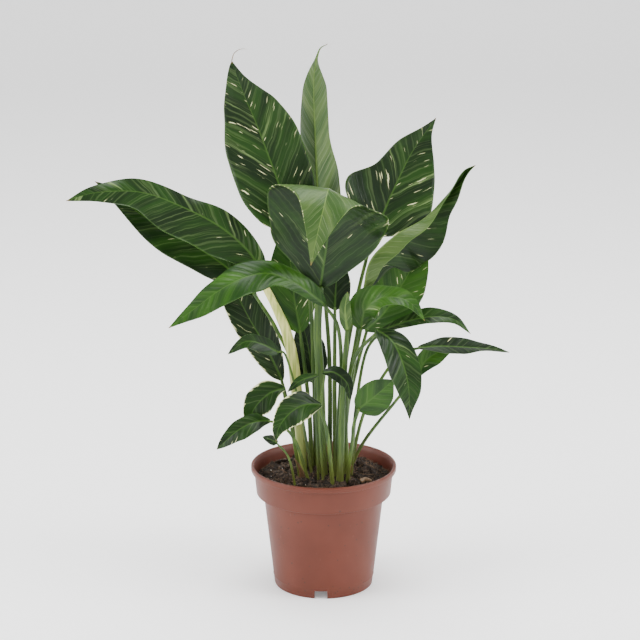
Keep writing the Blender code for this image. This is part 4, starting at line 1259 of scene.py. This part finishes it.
@dataclass
class Peat:
    """The peat and what lies in it: crumbs, fibres, bark and perlite."""

    radius: float = 0.0548
    edge_height: float = 0.0918
    crown_height: float = 0.0965
    side: tuple[tuple[float, float], ...] = ((0.0535, 0.0814), (0.0480, 0.0800), (0.0385, 0.0090))
    rings: int = 56
    spokes: int = 150
    seed: int = 7
    coarse_litter: float = 0.002
    remains: tuple = (
        ("dry_sheath_front", ((-0.017, -0.013, 0.093), (-0.019, -0.016, 0.104), (-0.024, -0.018, 0.114)),
         (0.0028, 0.0004)),
        ("dry_sheath_right", ((0.018, -0.013, 0.093), (0.021, -0.016, 0.102), (0.023, -0.018, 0.108)),
         (0.0024, 0.0005)),
        ("bark_chip", ((0.030, -0.027, 0.0975), (0.034, -0.025, 0.0985), (0.039, -0.026, 0.0975)),
         (0.0022, 0.0012)),
    )

    def top(self, x: np.ndarray, y: np.ndarray) -> np.ndarray:
        """Height of the lumpy top at each place."""
        r = np.minimum(np.hypot(x, y) / self.radius, 1.0)
        base = self.crown_height - (self.crown_height - self.edge_height) * r**2
        mound = 0.0022 * np.exp(-((x / 0.024) ** 2) - ((y - 0.004) / 0.020) ** 2)
        clod = 0.0050 * np.exp(-(((x - 0.036) / 0.008) ** 2) - ((y - 0.002) / 0.009) ** 2)
        coarse = 0.0018 * np.sin(x * 310 + 1.3) * np.cos(y * 270 + 0.4)
        fine = 0.0012 * np.sin(x * 690 + y * 520)
        lumps = mound + clod + coarse + fine
        return base + lumps * (1 - 0.6 * r**6)

    def build_bed(self) -> bpy.types.Object:
        """Builds the peat, with its lumpy top, as one closed solid."""
        rng = np.random.default_rng(self.seed)
        points, faces = [(0.0, 0.0, float(self.top(np.array(0.0), np.array(0.0))))], []
        for i in range(1, self.rings + 1):
            r = self.radius * i / self.rings
            a = 2 * np.pi * np.arange(self.spokes) / self.spokes
            x, y = r * np.cos(a), r * np.sin(a)
            z = self.top(x, y) + rng.normal(0, 0.00045, self.spokes) * (i < self.rings)
            points += list(zip(x, y, z))
        count = self.spokes
        for k in range(count):
            faces.append((0, 1 + k, 1 + (k + 1) % count))
        for i in range(self.rings - 1):
            for k in range(count):
                n = (k + 1) % count
                low, high = 1 + i * count, 1 + (i + 1) * count
                faces.append((low + k, high + k, high + n, low + n))
        last = 1 + (self.rings - 1) * count
        for r, z in self.side:
            base = len(points)
            for k in range(count):
                a = 2 * math.pi * k / count
                points.append((r * math.cos(a), r * math.sin(a), z))
            for k in range(count):
                n = (k + 1) % count
                faces.append((last + k, base + k, base + n, last + n))
            last = base
        faces.append(tuple(last + k for k in range(count - 1, -1, -1)))
        return new_piece("peat_bed", np.array(points), faces)

    def scatter(
        self, name: str, bed: bpy.types.Object, kind: Litter, finish: bpy.types.Material
    ) -> bpy.types.Object:
        """Scatters one kind of litter over the peat with Geometry Nodes.

        Args:
            name: the piece's name.
            bed: the peat that carries the litter.
            kind: what is scattered, and how much.
            finish: its material.

        Returns:
            The litter as one plain mesh.
        """
        tree = bpy.data.node_groups.new(name, "GeometryNodeTree")
        face = tree.interface
        face.new_socket("Geometry", in_out="INPUT", socket_type="NodeSocketGeometry")
        sockets = {}
        sizes = {"Density": kind.density, "Size": kind.size, "Stretch": kind.stretch, "Sink": kind.sink}
        for key, value in sizes.items():
            socket = face.new_socket(key, in_out="INPUT", socket_type="NodeSocketFloat")
            socket.default_value = value
            sockets[key] = socket.identifier
        face.new_socket("Geometry", in_out="OUTPUT", socket_type="NodeSocketGeometry")
        n = Nodes(tree)
        given = n.add("NodeGroupInput").outputs
        out = n.add("NodeGroupOutput")
        place = n.add("GeometryNodeInputPosition").outputs[0]
        height = n.add("ShaderNodeSeparateXYZ", {0: place}).outputs[2]
        facing = n.add("GeometryNodeInputNormal").outputs[0]
        upright = n.math("GREATER_THAN", n.add("ShaderNodeSeparateXYZ", {0: facing}).outputs[2], 0.3)
        high = n.math("GREATER_THAN", height, self.edge_height - 0.006)
        flat = n.add("ShaderNodeVectorMath", {0: place, 1: (1.0, 1.0, 0.0)}, operation="MULTIPLY").outputs[0]
        away = n.add("ShaderNodeVectorMath", {0: flat}, operation="LENGTH").outputs["Value"]
        inside = n.math("LESS_THAN", away, self.radius - 1.7 * kind.size)
        chosen = n.math("MULTIPLY", n.math("MULTIPLY", upright, high), inside)
        spots = n.add("GeometryNodeDistributePointsOnFaces", {"Mesh": given["Geometry"], "Selection": chosen,
                      "Density": given["Density"], "Seed": kind.seed})
        sunk = n.add("ShaderNodeCombineXYZ", {2: n.math("MULTIPLY", given["Sink"], -1.0)}).outputs[0]
        lowered = n.add("GeometryNodeSetPosition", {"Geometry": spots.outputs["Points"], "Offset": sunk})
        turn = n.add("FunctionNodeRandomValue", {"Seed": kind.seed + 1}, data_type="FLOAT_VECTOR")
        turn.inputs["Min"].default_value = (-kind.tilt, -kind.tilt, 0.0)
        turn.inputs["Max"].default_value = (kind.tilt, kind.tilt, 2 * math.pi)
        grow = n.add("FunctionNodeRandomValue", {"Seed": kind.seed + 2}, data_type="FLOAT_VECTOR")
        grow.inputs["Min"].default_value = (0.45, 0.45, 0.45)
        grow.inputs["Max"].default_value = (1.25, 1.25, 1.25)
        shape = self.litter_shape(n, kind, given)
        put = n.add("GeometryNodeInstanceOnPoints", {"Points": lowered.outputs[0], "Instance": shape,
                    "Rotation": turn.outputs[0], "Scale": grow.outputs[0]})
        real = n.add("GeometryNodeRealizeInstances", {"Geometry": put.outputs[0]})
        dress = n.add("GeometryNodeSetMaterial", {"Geometry": real.outputs[0], "Material": finish})
        tree.links.new(dress.outputs[0], out.inputs[0])
        host = bpy.data.objects.new(name, bed.data.copy())
        bpy.context.scene.collection.objects.link(host)
        modifier = host.modifiers.new("scatter", "NODES")
        modifier.node_group = tree
        for key, value in sizes.items():
            modifier[sockets[key]] = value
        bpy.context.view_layer.update()
        bake_modifiers(host)
        return host

    def litter_shape(self, n: Nodes, kind: Litter, given: object) -> bpy.types.NodeSocket:
        """Lays the nodes that make one crumb, chip or fibre.

        Args:
            n: the tree's layout helper.
            kind: what is made.
            given: the tree's inputs.

        Returns:
            The geometry of one item.
        """
        if kind.form is Form.FIBRE:
            half = n.math("MULTIPLY", given["Stretch"], 0.5)
            start = n.add("ShaderNodeCombineXYZ", {0: n.math("MULTIPLY", half, -1.0)}).outputs[0]
            bow, rise = n.math("MULTIPLY", half, 0.5), n.math("MULTIPLY", half, 0.35)
            middle = n.add("ShaderNodeCombineXYZ", {1: bow, 2: rise}).outputs[0]
            end = n.add("ShaderNodeCombineXYZ", {0: half, 2: n.math("MULTIPLY", half, 0.1)}).outputs[0]
            ends = {"Resolution": 6, "Start": start, "Middle": middle, "End": end}
            arc = n.add("GeometryNodeCurveQuadraticBezier", ends)
            ring = n.add("GeometryNodeCurvePrimitiveCircle", {"Resolution": 4, "Radius": given["Size"]})
            swept = {"Curve": arc.outputs[0], "Profile Curve": ring.outputs[0], "Fill Caps": True}
            return n.add("GeometryNodeCurveToMesh", swept).outputs[0]
        rounds = 2 if kind.size > self.coarse_litter else 1
        ball = n.add("GeometryNodeMeshIcoSphere", {"Radius": given["Size"], "Subdivisions": rounds})
        place = n.add("GeometryNodeInputPosition").outputs[0]
        noise = n.add("ShaderNodeTexNoise", {"Vector": place, "Scale": 0.9 / kind.size, "Detail": 3.0})
        lump, half = noise.outputs["Color"], (0.5, 0.5, 0.5)
        centred = n.add("ShaderNodeVectorMath", {0: lump, 1: half}, operation="SUBTRACT").outputs[0]
        strength = {0: centred, "Scale": kind.size * 1.7}
        push = n.add("ShaderNodeVectorMath", strength, operation="SCALE").outputs[0]
        lumpy = n.add("GeometryNodeSetPosition", {"Geometry": ball.outputs[0], "Offset": push})
        flat = n.add("ShaderNodeCombineXYZ", {0: given["Stretch"], 1: 1.0, 2: 0.7}).outputs[0]
        return n.add("GeometryNodeTransform", {"Geometry": lumpy.outputs[0], "Scale": flat}).outputs[0]

    def build(self) -> None:
        """Builds, dresses and settles the peat and all its litter."""
        earth = GroundFinish("moist_peat", roughness=0.85, specular=0.35).make()
        bed = self.build_bed()
        bed.data.materials.append(earth)
        kinds = (
            ("peat_crumbs", Litter(Form.CRUMB, 330000, 0.00115, 1.2, 0.0002, 1.5, 11), earth),
            ("peat_clods", Litter(Form.CRUMB, 16000, 0.0036, 1.3, 0.0003, 1.5, 21),
             GroundFinish("damp_clod", roughness=0.9, specular=0.3, dark=(0.012, 0.008, 0.006),
                          light=(0.060, 0.036, 0.020)).make()),
            ("peat_fibres", Litter(Form.FIBRE, 46000, 0.00016, 0.009, -0.0005, 0.5, 31),
             GroundFinish("brown_fibre", roughness=0.8, dark=(0.045, 0.026, 0.013),
                          light=(0.17, 0.10, 0.05)).make()),
            ("dry_bark", Litter(Form.CRUMB, 2600, 0.0022, 2.2, 0.0, 0.5, 41),
             GroundFinish("dry_bark", roughness=0.8, dark=(0.05, 0.026, 0.013),
                          light=(0.17, 0.085, 0.04)).make()),
            ("perlite", Litter(Form.CRUMB, 1300, 0.0008, 1.0, -0.0003, 1.0, 52),
             GroundFinish("perlite", roughness=0.7, dark=(0.50, 0.47, 0.40), light=(0.82, 0.80, 0.74),
                          relief=0.3).make()),
        )
        pieces = [self.scatter(name, bed, kind, finish) for name, kind, finish in kinds]
        husk = GroundFinish("dry_sheath", dark=(0.10, 0.055, 0.022), light=(0.15, 0.085, 0.038), relief=0.4)
        dry = husk.make()
        for name, points, radii in self.remains:
            piece = tube(name, points, radii, flat=0.45)
            piece.data.materials.append(dry)
            pieces.append(piece)
        settle(bed, "peat", "potting_soil")
        for piece in pieces:
            settle(piece, "peat")


@dataclass
class Studio:
    """A white sweep of floor, soft lights and the camera."""

    camera_place: Point = (-0.003, -1.78, 0.73)
    camera_pitch: float = 74.2
    camera_lens: float = 128.4
    sweep: float = 3.6

    def build_floor(self) -> None:
        """Builds the round white floor, curved up into a wall far from the plant."""
        flat = self.sweep * 0.7
        bend = self.sweep - flat
        outline = [(flat, 0.0)]
        for a in np.linspace(0.1, math.pi / 2, 12):
            outline.append((flat + bend * math.sin(a), bend - bend * math.cos(a)))
        outline.append((self.sweep, self.sweep))
        count = 64
        points, faces = [(0.0, 0.0, 0.0)], []
        for r, z in outline:
            points += [(r * math.cos(a), r * math.sin(a), z) for a in 2 * np.pi * np.arange(count) / count]
        for k in range(count):
            n = (k + 1) % count
            faces.append((0, 1 + k, 1 + n))
            for i in range(len(outline) - 1):
                low, high = 1 + i * count, 1 + (i + 1) * count
                faces.append((low + k, high + k, high + n, low + n))
        floor = new_piece("studio_floor", np.array(points), faces)
        material = bpy.data.materials.new("studio_white")
        material.use_nodes = True
        bsdf = material.node_tree.nodes["Principled BSDF"]
        bsdf.inputs["Base Color"].default_value = (0.95, 0.95, 0.95, 1.0)
        bsdf.inputs["Emission Color"].default_value = (1.0, 1.0, 1.0, 1.0)
        bsdf.inputs["Emission Strength"].default_value = 0.22
        bsdf.inputs["Roughness"].default_value = 0.7
        bsdf.inputs["Specular IOR Level"].default_value = 0.1
        floor.data.materials.append(material)

    def add_light(self, name: str, place: Point, aim: Point, size: float, power: float) -> None:
        """Adds a soft square light.

        Args:
            name: the light's name.
            place: where it stands.
            aim: what it points at.
            size: its side.
            power: its power in watts.
        """
        data = bpy.data.lights.new(name, "AREA")
        data.shape = "SQUARE"
        data.size = size
        data.energy = power
        light = bpy.data.objects.new(name, data)
        light.location = place
        light.rotation_euler = (Vector(aim) - Vector(place)).to_track_quat("-Z", "Y").to_euler()
        bpy.context.scene.collection.objects.link(light)

    def build(self) -> None:
        """Builds the floor, the lights, the surrounding white and the camera."""
        self.build_floor()
        middle = (0.0, 0.0, 0.22)
        self.add_light("left_softbox", (-1.5, -0.5, 0.9), middle, 1.0, 30.0)
        self.add_light("right_softbox", (1.5, -0.5, 0.9), middle, 1.0, 30.0)
        self.add_light("top_softbox", (0.0, 0.1, 1.9), middle, 1.2, 48.0)
        world = bpy.data.worlds.new("white_surround")
        world.use_nodes = True
        world.node_tree.nodes["Background"].inputs["Color"].default_value = (1.0, 1.0, 1.0, 1.0)
        world.node_tree.nodes["Background"].inputs["Strength"].default_value = 0.7
        bpy.context.scene.world = world
        data = bpy.data.cameras.new("studio_camera")
        data.lens = self.camera_lens
        data.sensor_width = 36.0
        camera = bpy.data.objects.new("studio_camera", data)
        camera.location = self.camera_place
        camera.rotation_euler = (math.radians(self.camera_pitch), 0.0, 0.0)
        bpy.context.scene.collection.objects.link(camera)
        bpy.context.scene.camera = camera


def main() -> None:
    """Builds the studio and every piece of the plant, and reports them."""
    logging.basicConfig(level=logging.INFO, format="%(name)s: %(message)s")
    Studio().build()
    specks = speckle_group()
    Pot().build(PotFinish("nursery_plastic", roughness=0.45, specular=0.26).make(specks))
    Peat().build()
    Foliage(LEAVES).build()
    log.info("built %d leaves", len(LEAVES))


if __name__ == "__main__":
    main()
